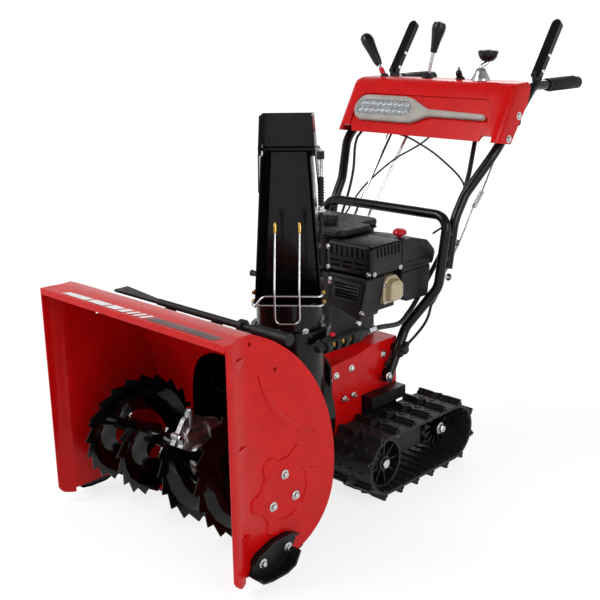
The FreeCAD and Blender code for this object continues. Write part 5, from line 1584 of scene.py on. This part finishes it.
# %% Wire guard
def build_guard():
    """The U whose legs lean in, the two cross bars and their nuts."""
    bm = bmesh.new()
    loop_y, bar_y = -80.5, -75.5
    wire(bm, bent([on_chute(-27, -32, 249), on_chute(-27, loop_y, 110), on_chute(-27, loop_y, 36),
                   on_chute(27, loop_y, 36), on_chute(27, loop_y, 110), on_chute(27, -32, 249)],
                  16, 8), 2.5, 12)
    first, second = 77.0, 98.0
    half, upper = chute_half(first) + 3.0, chute_half(second) + 3.0
    wire(bm, bent([on_chute(-half, -40, first), on_chute(-half, bar_y, first),
                   on_chute(half, bar_y, first), on_chute(half, -40, first)], 12), 2.5, 12)
    wire(bm, bent([on_chute(-half + 8, bar_y, first), on_chute(-half + 24, bar_y, second),
                   on_chute(upper, bar_y, second), on_chute(upper, -40, second)], 12), 2.5, 12)
    guard = new_piece("chute_wire_guard", bm, ZINC, "chute", 0.0, ("chute_guard",))
    nuts = bmesh.new()
    for up, reach in ((first, half), (second, upper)):
        for way in (-1, 1):
            spot = on_chute(way * reach, -40, up)
            turned(nuts, [(5.5, -4), (5.5, 3), (4.5, 4)], spot, OPEN_SIDE, 6)
    for way in (-1, 1):
        spot = on_chute(way * 27, -32, 249)
        down = on_chute(way * 27, loop_y, 110) - spot
        turned(nuts, [(3.6, -4), (4.2, -2), (4.2, 18), (3.4, 20)], spot, down, 16)
    new_piece("chute_guard_nuts", nuts, YELLOW_ZINC, "chute", 0.3)
    return guard


guard = build_guard()
print("chute guard, m:", [round(v, 3) for v in guard.dimensions])

# %% [markdown]
# ## The hood's hem and the chute's bolts
# The hood on top turns about a pin. Its sheet is rolled round that pin and reaches a little
# over the channel, so that no snow escapes between them. Bolts hold the collar and the pin;
# eight round the collar are one bolt repeated by its angle.

# %% Hood hem
HINGE_BACK = 46.4
HINGE_UP = 838.0 - RING_Z


def build_hinge_barrel():
    """The hood's rolled hem round its pin, and the skirt that overlaps the channel."""
    bm = bmesh.new()
    half = 59.0
    turned(bm, [(5.6, -half), (6.4, 1 - half), (6.4, half - 1), (5.6, half)],
           on_chute(0, HINGE_BACK, HINGE_UP), ALONG_HINGE, 24)
    skirt = [(-half, -16), (half, -16), (half, 14), (-half, 14)]
    plate(bm, [on_chute(across, HINGE_BACK + 4.2, HINGE_UP + up) for across, up in skirt],
          OPEN_SIDE * 0.0025)
    return new_piece("hood_hinge_barrel", bm, BLACK_ENAMEL, "deflector", 0.3)


hinge_barrel = build_hinge_barrel()
print("hood hem:", hinge_barrel.name)

# %% Chute bolts
def build_chute_hardware():
    """Collar bolts and hinge bolts."""
    bm = bmesh.new()
    for turn in (200, 245, 295, 340, 25, 70, 115, 160):
        out = Vector((math.cos(math.radians(turn)), math.sin(math.radians(turn)), 0))
        spot = mm(*CHUTE_AXIS, RING_Z + 14) + out * 0.0775
        turned(bm, [(8.5, -1.5), (8.5, 1), (7, 1.4)], spot, out, 18)
        turned(bm, [(5.8, 1), (5.8, 5), (4.8, 6)], spot, out, 6)
    for way in (-1, 1):
        spot = on_chute(way * 62.5, HINGE_BACK, HINGE_UP)
        turned(bm, [(10, -2), (10, 1), (8.5, 1.5)], spot, ALONG_HINGE * way, 20)
        turned(bm, [(7, 1), (7, 6), (5.8, 7)], spot, ALONG_HINGE * way, 6)
    return new_piece("chute_bolts", bm, ZINC, "chute", 0.3)


chute_bolts = build_chute_hardware()
print("chute bolts, faces:", len(chute_bolts.data.polygons))

# %% [markdown]
# ## The deflector's cable end
# A bracket on the chute holds the outer cable; above it a ribbed rubber bellows keeps water
# off the inner wire and a light spring takes up the slack. A screw modifier could draw the
# spring; a loop that walks round a helix is as short, and bellows are one row of rings.

# %% Bracket, bellows, spring and cable
def build_cable_end():
    """The parts of the deflector's cable along one upright line at the chute's side."""
    x, y = 74.0, -33.0
    black, bright, coil = bmesh.new(), bmesh.new(), bmesh.new()
    wall = chute_half(278.0)
    corners = [on_chute(u, v, 278) for u, v in ((wall, y - 9), (x + 9, y - 9), (x + 9, y + 9),
                                                (wall, y + 9))]
    plate(bright, corners, Vector((0, 0, 0.003)))
    rings = [(4.2, 290)]
    for i in range(10):
        rings += [(7.2, 292 + 6.2 * i), (7.4, 294.5 + 6.2 * i), (5.0, 297.2 + 6.2 * i)]
    rings.append((4.0, 354))
    foot = on_chute(x, y, 0)
    turned(black, rings, foot, UP, 20)
    turned(bright, [(6.5, 281), (6.5, 288), (5, 289)], foot, UP, 6)
    turned(black, [(4.4, 226), (4.4, 276)], foot, UP, 14)
    turned(bright, [(1.2, 350), (1.2, 398)], foot, UP, 10)
    coils, steps = 13, 12
    helix = []
    for i in range(coils * steps + 1):
        turn = 2 * math.pi * i / steps
        helix.append(on_chute(x + 4.8 * math.cos(turn), y + 4.8 * math.sin(turn),
                              356 + 36.0 * i / (coils * steps)))
    wire(coil, helix, 0.9, 6)
    corners = [on_chute(u, y - 8, w) for u, w in ((x - 8, 392), (x + 8, 392), (x + 8, 408),
                                                  (x - 8, 408))]
    plate(black, corners, -OPEN_SIDE * 0.016)
    turned(bright, [(4, 408), (4, 414), (2, 415)], foot, UP, 12)
    new_piece("deflector_cable_bellows", black, GRIP_RUBBER, "chute", 0.0,
              ("deflector_cable_end",))
    new_piece("deflector_cable_fittings", bright, ZINC, "chute")
    return new_piece("deflector_cable_spring", coil, CHROME, "chute")


cable_spring = build_cable_end()
print("spring faces:", len(cable_spring.data.polygons))

# %% [markdown]
# ## Fasteners
# Most of what makes a machine look assembled is its fasteners. They are all alike: a washer,
# a flange and a hex head, turned with six sides. Instances would be lighter in memory; one
# mesh for the whole frame is simpler. Short lists say where each bolt sits and which way it
# points.

# %% Bolts on the frame
def add_bolt(bm, spot, axis, across_mm=10.0, height_mm=5.5):
    """A washer and a hex head with a chamfered top."""
    r = across_mm / 2 * 1.155
    turned(bm, [(r * 1.5, -0.8), (r * 1.5, 1.0), (r * 1.35, 1.4)], spot, axis, 20)
    turned(bm, [(r, 1.2), (r, height_mm - 0.8), (r * 0.82, height_mm)], spot, axis, 6)


CHASSIS_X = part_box("chassis")[1][0] * 1000
JOINT_X = 203.0
JOINT_AXIS = Vector((0, 1, -0.3))


def build_frame_bolts():
    """Bolts of the housing, chassis, handles, engine, console and drum."""
    bm = bmesh.new()
    for side in (-1, 1):
        x = side * (HALF_WIDTH + 1.5)
        for y, z in ((AXIS_Y + 2, AXIS_Z + 39), (AXIS_Y + 32, AXIS_Z - 19),
                     (AXIS_Y - 33, AXIS_Z - 21)):
            add_bolt(bm, mm(x, y, z), SIDE * side, 12.0, 7.0)
        for y, z in ((569, 295), (690, 300), (514, 290), (489, 285)):
            add_bolt(bm, mm(side * CHASSIS_X, y, z), SIDE * side, 11.0, 6.0)
        for y, z in ((539, 225), (572, 226)):
            turned(bm, [(4, 0), (4, 15)], mm(side * CHASSIS_X, y, z), SIDE * side, 12)
            add_bolt(bm, mm(side * (CHASSIS_X + 4), y, z), SIDE * side, 9.0, 6.0)
        add_bolt(bm, mm(side * 154, 676, 252), SIDE * side, 12.0, 7.0)
        for y, z in ((882, 564), (851, 481)):
            spot = mm(side * JOINT_X, y, z)
            turned(bm, [(4, -24), (4, 0)], spot, JOINT_AXIS, 12)
            add_bolt(bm, spot, JOINT_AXIS, 11.0, 7.0)
        for y, z in ((1048, 870), (1006, 816)):
            add_bolt(bm, mm(side * CONSOLE_HALF - side, y, z), SIDE * side, 12.0, 5.0)
    for turn in range(20, 360, 40):
        out = Vector((math.cos(math.radians(turn)), 0, math.sin(math.radians(turn))))
        spot = mm(0, CENTRE_Y - 223.0, IMPELLER_Z) + out * 0.150
        if turn not in (260, 300):
            add_bolt(bm, spot, BACK, 9.0, 5.0)
    for x, z in ((60, 162), (60, 168), (160, 100)):
        add_bolt(bm, mm(x, ENGINE_Y + 4, DECK + z), -BACK, 8.0, 4.0)
    for x, z in ((58, 250), (184, 200), (58, 200)):
        add_bolt(bm, mm(x, ENGINE_Y, DECK + z), -BACK, 7.0, 3.5)
    for y in (12, 108):
        add_bolt(bm, mm(192, ENGINE_Y + y, DECK + 200), SIDE, 7.0, 3.5)
    for turn in (45, 135, 225, 315):
        spot = mm(-121, ENGINE_Y + 93 + 74 * math.cos(math.radians(turn)),
                  DECK + 80 + 74 * math.sin(math.radians(turn)))
        turned(bm, [(4.2, 37), (4.2, 42), (3.2, 43)], spot, -SIDE, 6)
    for x, y, z in ((208, 500, 442), (214, 384, 432)):
        turned(bm, [(6.5, -3), (6.5, 3), (5.2, 4)], mm(x, y, z), (1, -0.3, 0.2), 6)
    return new_piece("frame_bolts", bm, ZINC, "frame", 0.3)


frame_bolts = build_frame_bolts()
print("bolt faces:", len(frame_bolts.data.polygons))

# %% [markdown]
# ## Valve cover
# The cylinder's valve cover is a drawn steel cup on a flange, held by four small bolts. A
# loft through shrinking outlines draws the flange, the step and the rounded cup in one
# skin, and a raised field inside stiffens its face.

# %% Valve cover on the cylinder
def build_valve_cover():
    """The flange, the cup with its raised field, and its bolts."""
    low, high = [Vector(corner) * 1000 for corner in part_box("valve_cover")]
    y0, y1, z0, z1 = low.y, high.y, low.z, high.z

    def outline(x, inset, slope=18.0):
        corners = [(y0 + inset, z0 + inset, 6), (y1 - inset, z0 + inset, 6),
                   (y1 - inset, z1 - slope, 8), (y1 - slope, z1 - inset, 8),
                   (y0 + slope, z1 - inset, 8), (y0 + inset, z1 - slope, 8)]
        return [Vector((x, p.x, p.y)) / 1000 for p in rounded_outline(corners, 5)]

    face = high.x
    bm = bmesh.new()
    loft(bm, [outline(low.x, 0.5), outline(face - 22, 0.5), outline(face - 21, 8.5, 20),
              outline(face - 7, 10, 21), outline(face - 3.5, 13, 23),
              outline(face - 3, 17, 26), outline(face - 1, 18.5, 27)])
    cup = new_piece("valve_cover_cup", bm, BEIGE_ENAMEL, "frame", 0.8, ("valve_cover",))
    bolts = bmesh.new()
    for y, z in ((y0 + 5, z0 + 6), (y1 - 5, z0 + 6), (y1 - 6, z1 - 21), (y0 + 6, z1 - 21)):
        add_bolt(bolts, Vector((face - 21.5, y, z)) / 1000, SIDE, 6.0, 4.0)
    new_piece("valve_cover_bolts", bolts, ZINC, "frame", 0.2)
    return cup


valve_cup = build_valve_cover()
print("valve cover, m:", [round(v, 3) for v in valve_cup.dimensions])

# %% [markdown]
# ## Worm drive beside the chute
# The crank turns a worm in a small moulded case, which turns the ring. The case has eight
# sides, slots that show the worm and a hex nose. A turned shape with eight sides is already
# such a case, so no flats have to be cut.

# %% Worm drive case
def build_worm_case():
    """The eight-sided case, its hex nose, its brass bits and a red-capped bolt."""
    low, high = [Vector(corner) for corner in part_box("chute_worm_box")]
    centre = (low + high) / 2
    length = (high.y - low.y) * 1000
    foot = Vector((centre.x, low.y, centre.z))
    bm = bmesh.new()
    turned(bm, [(15, 22), (18.5, 25), (18.5, length - 34), (15, length - 30), (12, length - 28),
                (12, length - 12), (8, length - 10), (8, length)], foot, BACK, 8)
    turned(bm, [(8, 0), (12, 2), (12, 22)], foot, BACK, 6)
    case = new_piece("worm_drive_case", bm, BLACK_PLASTIC, "frame", 1.2, ("chute_worm_box",))
    slots = bmesh.new()
    for i in range(3):
        y = low.y + 0.036 + 0.028 * i
        box_between(slots, Vector((centre.x + 0.004, y, centre.z - 0.012)),
                    Vector((centre.x + 0.03, y + 0.016, centre.z + 0.010)))
    cut_away(case, [slots])
    brass = bmesh.new()
    turned(brass, [(9, 30), (9, 108)], foot, BACK, 20)
    for i in range(10):
        turned(brass, [(9, 32 + 7.5 * i), (11.5, 34 + 7.5 * i), (9, 36.5 + 7.5 * i)], foot,
               BACK, 20)
    new_piece("worm_drive_worm", brass, YELLOW_ZINC, "frame")
    cap = bmesh.new()
    turned(cap, [(6.5, 0), (6.5, 5), (5, 7), (1, 7.4)], foot + Vector((0, 0.052, 0.0175)),
           UP, 16)
    new_piece("worm_drive_cap", cap, RED_PLASTIC, "frame")
    hexes = bmesh.new()
    turned(hexes, [(8.5, length + 2), (9.5, length + 3), (9.5, length + 24),
                   (8.5, length + 26)], foot, BACK, 6)
    new_piece("worm_drive_coupling", hexes, ZINC, "frame", 0.4)
    return case


worm_case = build_worm_case()
print("worm case:", worm_case.name)

# %% [markdown]
# ## Cables, rods and springs
# Each inner wire runs in a black sheath from its lever to what it works, so it has two
# fixed ends and a route with large bends. A spline through a few points gives that line,
# and the round section is carried along it.

# %% Cables and linkage rods
def flowing(points, steps=8):
    """A smooth line through points, with the easy bends of a sheathed cable."""
    line = []
    ends = [points[0] * 2 - points[1]] + points + [points[-1] * 2 - points[-2]]
    for p0, p1, p2, p3 in zip(ends, ends[1:], ends[2:], ends[3:]):
        for i in range(steps):
            t = i / steps
            line.append(((p1 * 2) + (p2 - p0) * t + (p0 * 2 - p1 * 5 + p2 * 4 - p3) * t * t
                         + (p1 * 3 - p0 - p2 * 3 + p3) * t * t * t) / 2)
    return line + [points[-1]]


def build_cables():
    """Sheathed cables from the clutch levers, the throttle and the deflector lever."""
    sheath, rods, boots = bmesh.new(), bmesh.new(), bmesh.new()
    wire(sheath, flowing([mm(-203, 1150, 905), mm(-203, 996, 812), mm(-203, 962, 777),
                          mm(-203, 952, 705), mm(-203, 930, 640), mm(-196, 880, 560),
                          mm(-170, 800, 470), mm(-140, 700, 380)]), 3.8, 10)
    wire(sheath, flowing([mm(60, 1068, 935), mm(30, 1000, 812), mm(-60, 945, 740),
                          mm(-150, 930, 660), mm(-150, 860, 600), mm(-120, 770, 560),
                          mm(-60, 690, 545)]), 2.4, 8)
    wire(sheath, flowing([mm(-190, 1060, 930), mm(-120, 990, 830), mm(0, 960, 800),
                          mm(105, 938, 763), mm(188, 930, 700), mm(196, 880, 630),
                          mm(190, 800, 600)]), 2.6, 8)
    wire(rods, bent([mm(212, 1150, 938), mm(212, 1010, 735), mm(214, 952, 655)], 20), 2.4, 8)
    wire(rods, bent([mm(206, 952, 655), mm(200, 905, 570), mm(188, 800, 420)], 20), 2.6, 8)
    turned(boots, [(3.5, 0), (7, 4), (7.5, 20), (6, 34), (3, 38)], mm(190, 822, 446),
           (-0.08, -0.62, -0.78), 16)
    wire(sheath, flowing([mm(188, 802, 418), mm(184, 790, 380), mm(170, 770, 345),
                          mm(150, 720, 300), mm(132, 690, 272)]), 3.6, 10)
    start, end = mm(213, 975, 685), mm(208, 945, 645)
    axis = (end - start).normalized()
    across = axis.orthogonal().normalized()
    other = axis.cross(across)
    coils, steps = 12, 14
    coil = []
    for i in range(coils * steps + 1):
        turn = 2 * math.pi * i / steps
        coil.append(start.lerp(end, i / (coils * steps))
                    + (across * math.cos(turn) + other * math.sin(turn)) * 0.006)
    wire(rods, coil, 1.0, 6)
    wire(rods, [mm(-98, 1052, 935), mm(-106, 950, 750), mm(-124, 880, 610), mm(-118, 765, 420)],
         1.8, 10)
    new_piece("cable_sheaths", sheath, GRIP_RUBBER, "frame")
    new_piece("cable_boot", boots, GRIP_RUBBER, "frame")
    return new_piece("clutch_rods", rods, ZINC, "frame")


clutch_rods = build_cables()
print("rod faces:", len(clutch_rods.data.polygons))

# %% [markdown]
# ## Choke knob, grip rings and wing knobs
# The last touches are small mouldings: the red choke knob on the air cleaner, the rings
# moulded in the hand grips and the winged knobs that clamp the handle. All of them are
# round about some axis, so each is one or a few turned profiles.

# %% Small mouldings
def build_small_mouldings():
    """The choke knob, grip rings and wing knobs."""
    choke = bmesh.new()
    turned(choke, [(5, 0), (6, 6), (16, 9), (17.5, 13), (16, 18), (11, 22), (2, 23.5)],
           mm(150, ENGINE_Y + 156, DECK + 257), UP, 28)
    new_piece("choke_knob_moulded", choke, RED_PLASTIC, "frame", 0.0, ("choke_knob",))
    rings = bmesh.new()
    low, high = [Vector(corner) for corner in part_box("grip_left")]
    for side in (-1, 1):
        x = side * (low.x + high.x) / 2
        near = Vector((x, low.y + 0.004, high.z - 0.0175))
        far = Vector((x, high.y - 0.004, low.z + 0.0175))
        axis = far - near
        for i in range(12):
            spot = near.lerp(far, 0.06 + 0.073 * i)
            turned(rings, [(16.2, -2.4), (17.6, -1.4), (17.6, 1.4), (16.2, 2.4)], spot, axis, 28)
    new_piece("grip_rings", rings, GRIP_RUBBER, "frame")
    wings = bmesh.new()
    low, high = [Vector(corner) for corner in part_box("handle_knobs")]
    for side in (-1, 1):
        spot = Vector((side * (high.x - 0.016), (low.y + high.y) / 2, (low.z + high.z) / 2))
        turned(wings, [(9, -14), (12, -10), (12, 4), (8, 8), (1, 9)], spot, SIDE * side, 24)
        for way in (-1, 1):
            lobe = Vector((0, 0.75, 0.66)) * way
            turned(wings, [(7, 0), (8, 12), (6.5, 20), (2, 24)], spot - SIDE * side * 0.003,
                   lobe, 14)
    return new_piece("wing_knobs", wings, BLACK_PLASTIC, "frame", 0.0, ("handle_knobs",))


wing_knobs = build_small_mouldings()
print("wing knobs:", wing_knobs.name)

# %% [markdown]
# ## Stripes and bare plates
# The roof's front strip carries film stripes: slanted white ones on one half and a grey
# hatch on the other, with no words. Behind the tank sits a small red plate. They are thin
# plates over the paint, each stripe cut to its own slanted outline.

# %% Stripe strip and plates
WHITE_FILM = moulded("white_vinyl_film", "E4E4E2", "DADAD8", 0.3, 0.4, 0.01)
GREY_FILM = moulded("grey_vinyl_film", "6E6E70", "646466", 0.35, 0.45, 0.01)
RED_FILM = moulded("red_vinyl_film", "C01318", "B81015", 0.3, 0.4, 0.01)


STRIPE_FRONT, STRIPE_BACK = 8.0, 35.0


def slanted(bm, x0, x1, slant):
    """One slanted stripe lying on the roof's front strip."""
    z = ROOF_Z + SHEET / 2 + 0.2
    plate(bm, [mm(x0, STRIPE_FRONT, z), mm(x1, STRIPE_FRONT, z),
               mm(x1 + slant, STRIPE_BACK, z), mm(x0 + slant, STRIPE_BACK, z)], UP * 0.0002)


def build_stripes():
    """The strip along the roof's front and the plate behind the tank."""
    white, grey, red = bmesh.new(), bmesh.new(), bmesh.new()
    for x0, x1 in ((-236, -150), (-142, -84), (-76, -40), (-32, -12), (-2, 10), (20, 32),
                   (42, 54)):
        slanted(white, x0, x1, 14.0)
    for i in range(24):
        slanted(grey, 66.0 + 8.6 * i, 71.5 + 8.6 * i, 9.0)
    new_piece("roof_stripes_white", white, WHITE_FILM, "frame")
    new_piece("roof_stripes_grey", grey, GREY_FILM, "frame")
    foot = mm(-62, ENGINE_Y + 204.5, DECK + 236)
    box_between(red, foot - Vector((0.03, 0, 0.014)), foot + Vector((0.03, 0.0008, 0.014)))
    return new_piece("tank_plate", red, RED_FILM, "frame")


tank_plate = build_stripes()
print("stripes and", tank_plate.name)

# %% [markdown]
# ## The studio
# A pale floor, three large soft boxes and a white sky that is dimmer for diffuse light. The
# floor shows the camera and the reflections the same white as the sky behind it, while a
# part of its own shading stays near the machine, so the machine keeps its soft shadow. That
# part fades out a few metres away, and no horizon line shows.

# %% Floor
FLOOR_SIZE = 60.0
SHADOW_KEPT = 0.3
FADE_START, FADE_END = 1.0, 2.6
FLOOR_GLOW = 1.12


def seen_directly(tree):
    """1 for camera, glossy and transmission rays, 0 for the rays that light the scene."""
    path = node(tree, "LightPath").outputs
    both = node(tree, "Math", {0: path["Is Camera Ray"], 1: path["Is Glossy Ray"]},
                operation="MAXIMUM")
    three = node(tree, "Math", {0: both.outputs["Value"], 1: path["Is Transmission Ray"]},
                 operation="MAXIMUM")
    return three.outputs["Value"]


def add_floor():
    """A wide pale floor that shows as white with the object's shadow on it."""
    material, tree = new_material("pale_studio_floor")
    white = node(tree, "Emission", Color=(1, 1, 1, 1), Strength=FLOOR_GLOW)
    matt = node(tree, "BsdfDiffuse", Color=colour("F2F2F2"))
    spot = node(tree, "TexCoord")
    away = node(tree, "VectorMath", {"Vector": spot.outputs["Object"]}, operation="LENGTH")
    shown = node(tree, "MapRange", {"Value": away.outputs["Value"]}, From_Min=FADE_START,
                 From_Max=FADE_END, To_Min=1 - SHADOW_KEPT, To_Max=1.0)
    amount = node(tree, "Math", {0: shown.outputs["Result"], 1: seen_directly(tree)},
                  operation="MULTIPLY")
    mix = node(tree, "MixShader", {0: amount.outputs["Value"], 1: matt.outputs["BSDF"],
                                   2: white.outputs["Emission"]})
    node(tree, "OutputMaterial", {"Surface": mix.outputs["Shader"]})
    mesh = bpy.data.meshes.new("studio_floor")
    half = FLOOR_SIZE / 2
    mesh.from_pydata([(-half, -half, 0), (half, -half, 0), (half, half, 0), (-half, half, 0)],
                     [], [(0, 1, 2, 3)])
    mesh.materials.append(material)
    add_object("studio_floor", mesh)


add_floor()
print("floor side, m:", FLOOR_SIZE)

# %% Sky
def add_sky():
    """White for what the eye and the gloss see, darker overhead, dimmer as a light."""
    world = bpy.data.worlds.new("studio_sky")
    bpy.context.scene.world = world
    world.use_nodes = True
    tree = world.node_tree
    tree.nodes.clear()
    look = node(tree, "TexCoord")
    height = node(tree, "SeparateXYZ", {"Vector": look.outputs["Generated"]})
    level = node(tree, "MapRange", {"Value": height.outputs["Z"]},
                 From_Min=0.15, From_Max=0.75, To_Min=1.0, To_Max=0.25)
    seen = node(tree, "Background", {"Strength": level.outputs["Result"]}, Color=(1, 1, 1, 1))
    lit = node(tree, "Background", Color=colour("F4F6FA"), Strength=0.45)
    mix = node(tree, "MixShader", {0: seen_directly(tree), 1: lit.outputs["Background"],
                                   2: seen.outputs["Background"]})
    node(tree, "OutputWorld", {"Surface": mix.outputs["Shader"]})


add_sky()
print("sky:", bpy.context.scene.world.name)

# %% Soft boxes
def add_soft_box(name, place, aim, size, watts):
    """A square area lamp that points at a place on the machine."""
    data = bpy.data.lights.new(name, "AREA")
    data.shape = "SQUARE"
    data.size = size
    data.energy = watts
    lamp = add_object(name, data)
    lamp.location = place
    lamp.rotation_mode = "QUATERNION"
    lamp.rotation_quaternion = (Vector(aim) - Vector(place)).to_track_quat("-Z", "Y")


MIDDLE = (0.0, 0.0, 0.5)
add_soft_box("key_soft_box", (-1.8, -3.2, 3.2), MIDDLE, 2.2, 120)
add_soft_box("fill_soft_box", (3.6, -0.8, 2.0), MIDDLE, 2.0, 60)
add_soft_box("back_soft_box", (-1.5, 3.4, 3.0), MIDDLE, 2.0, 60)
bpy.context.scene.view_settings.view_transform = "Standard"
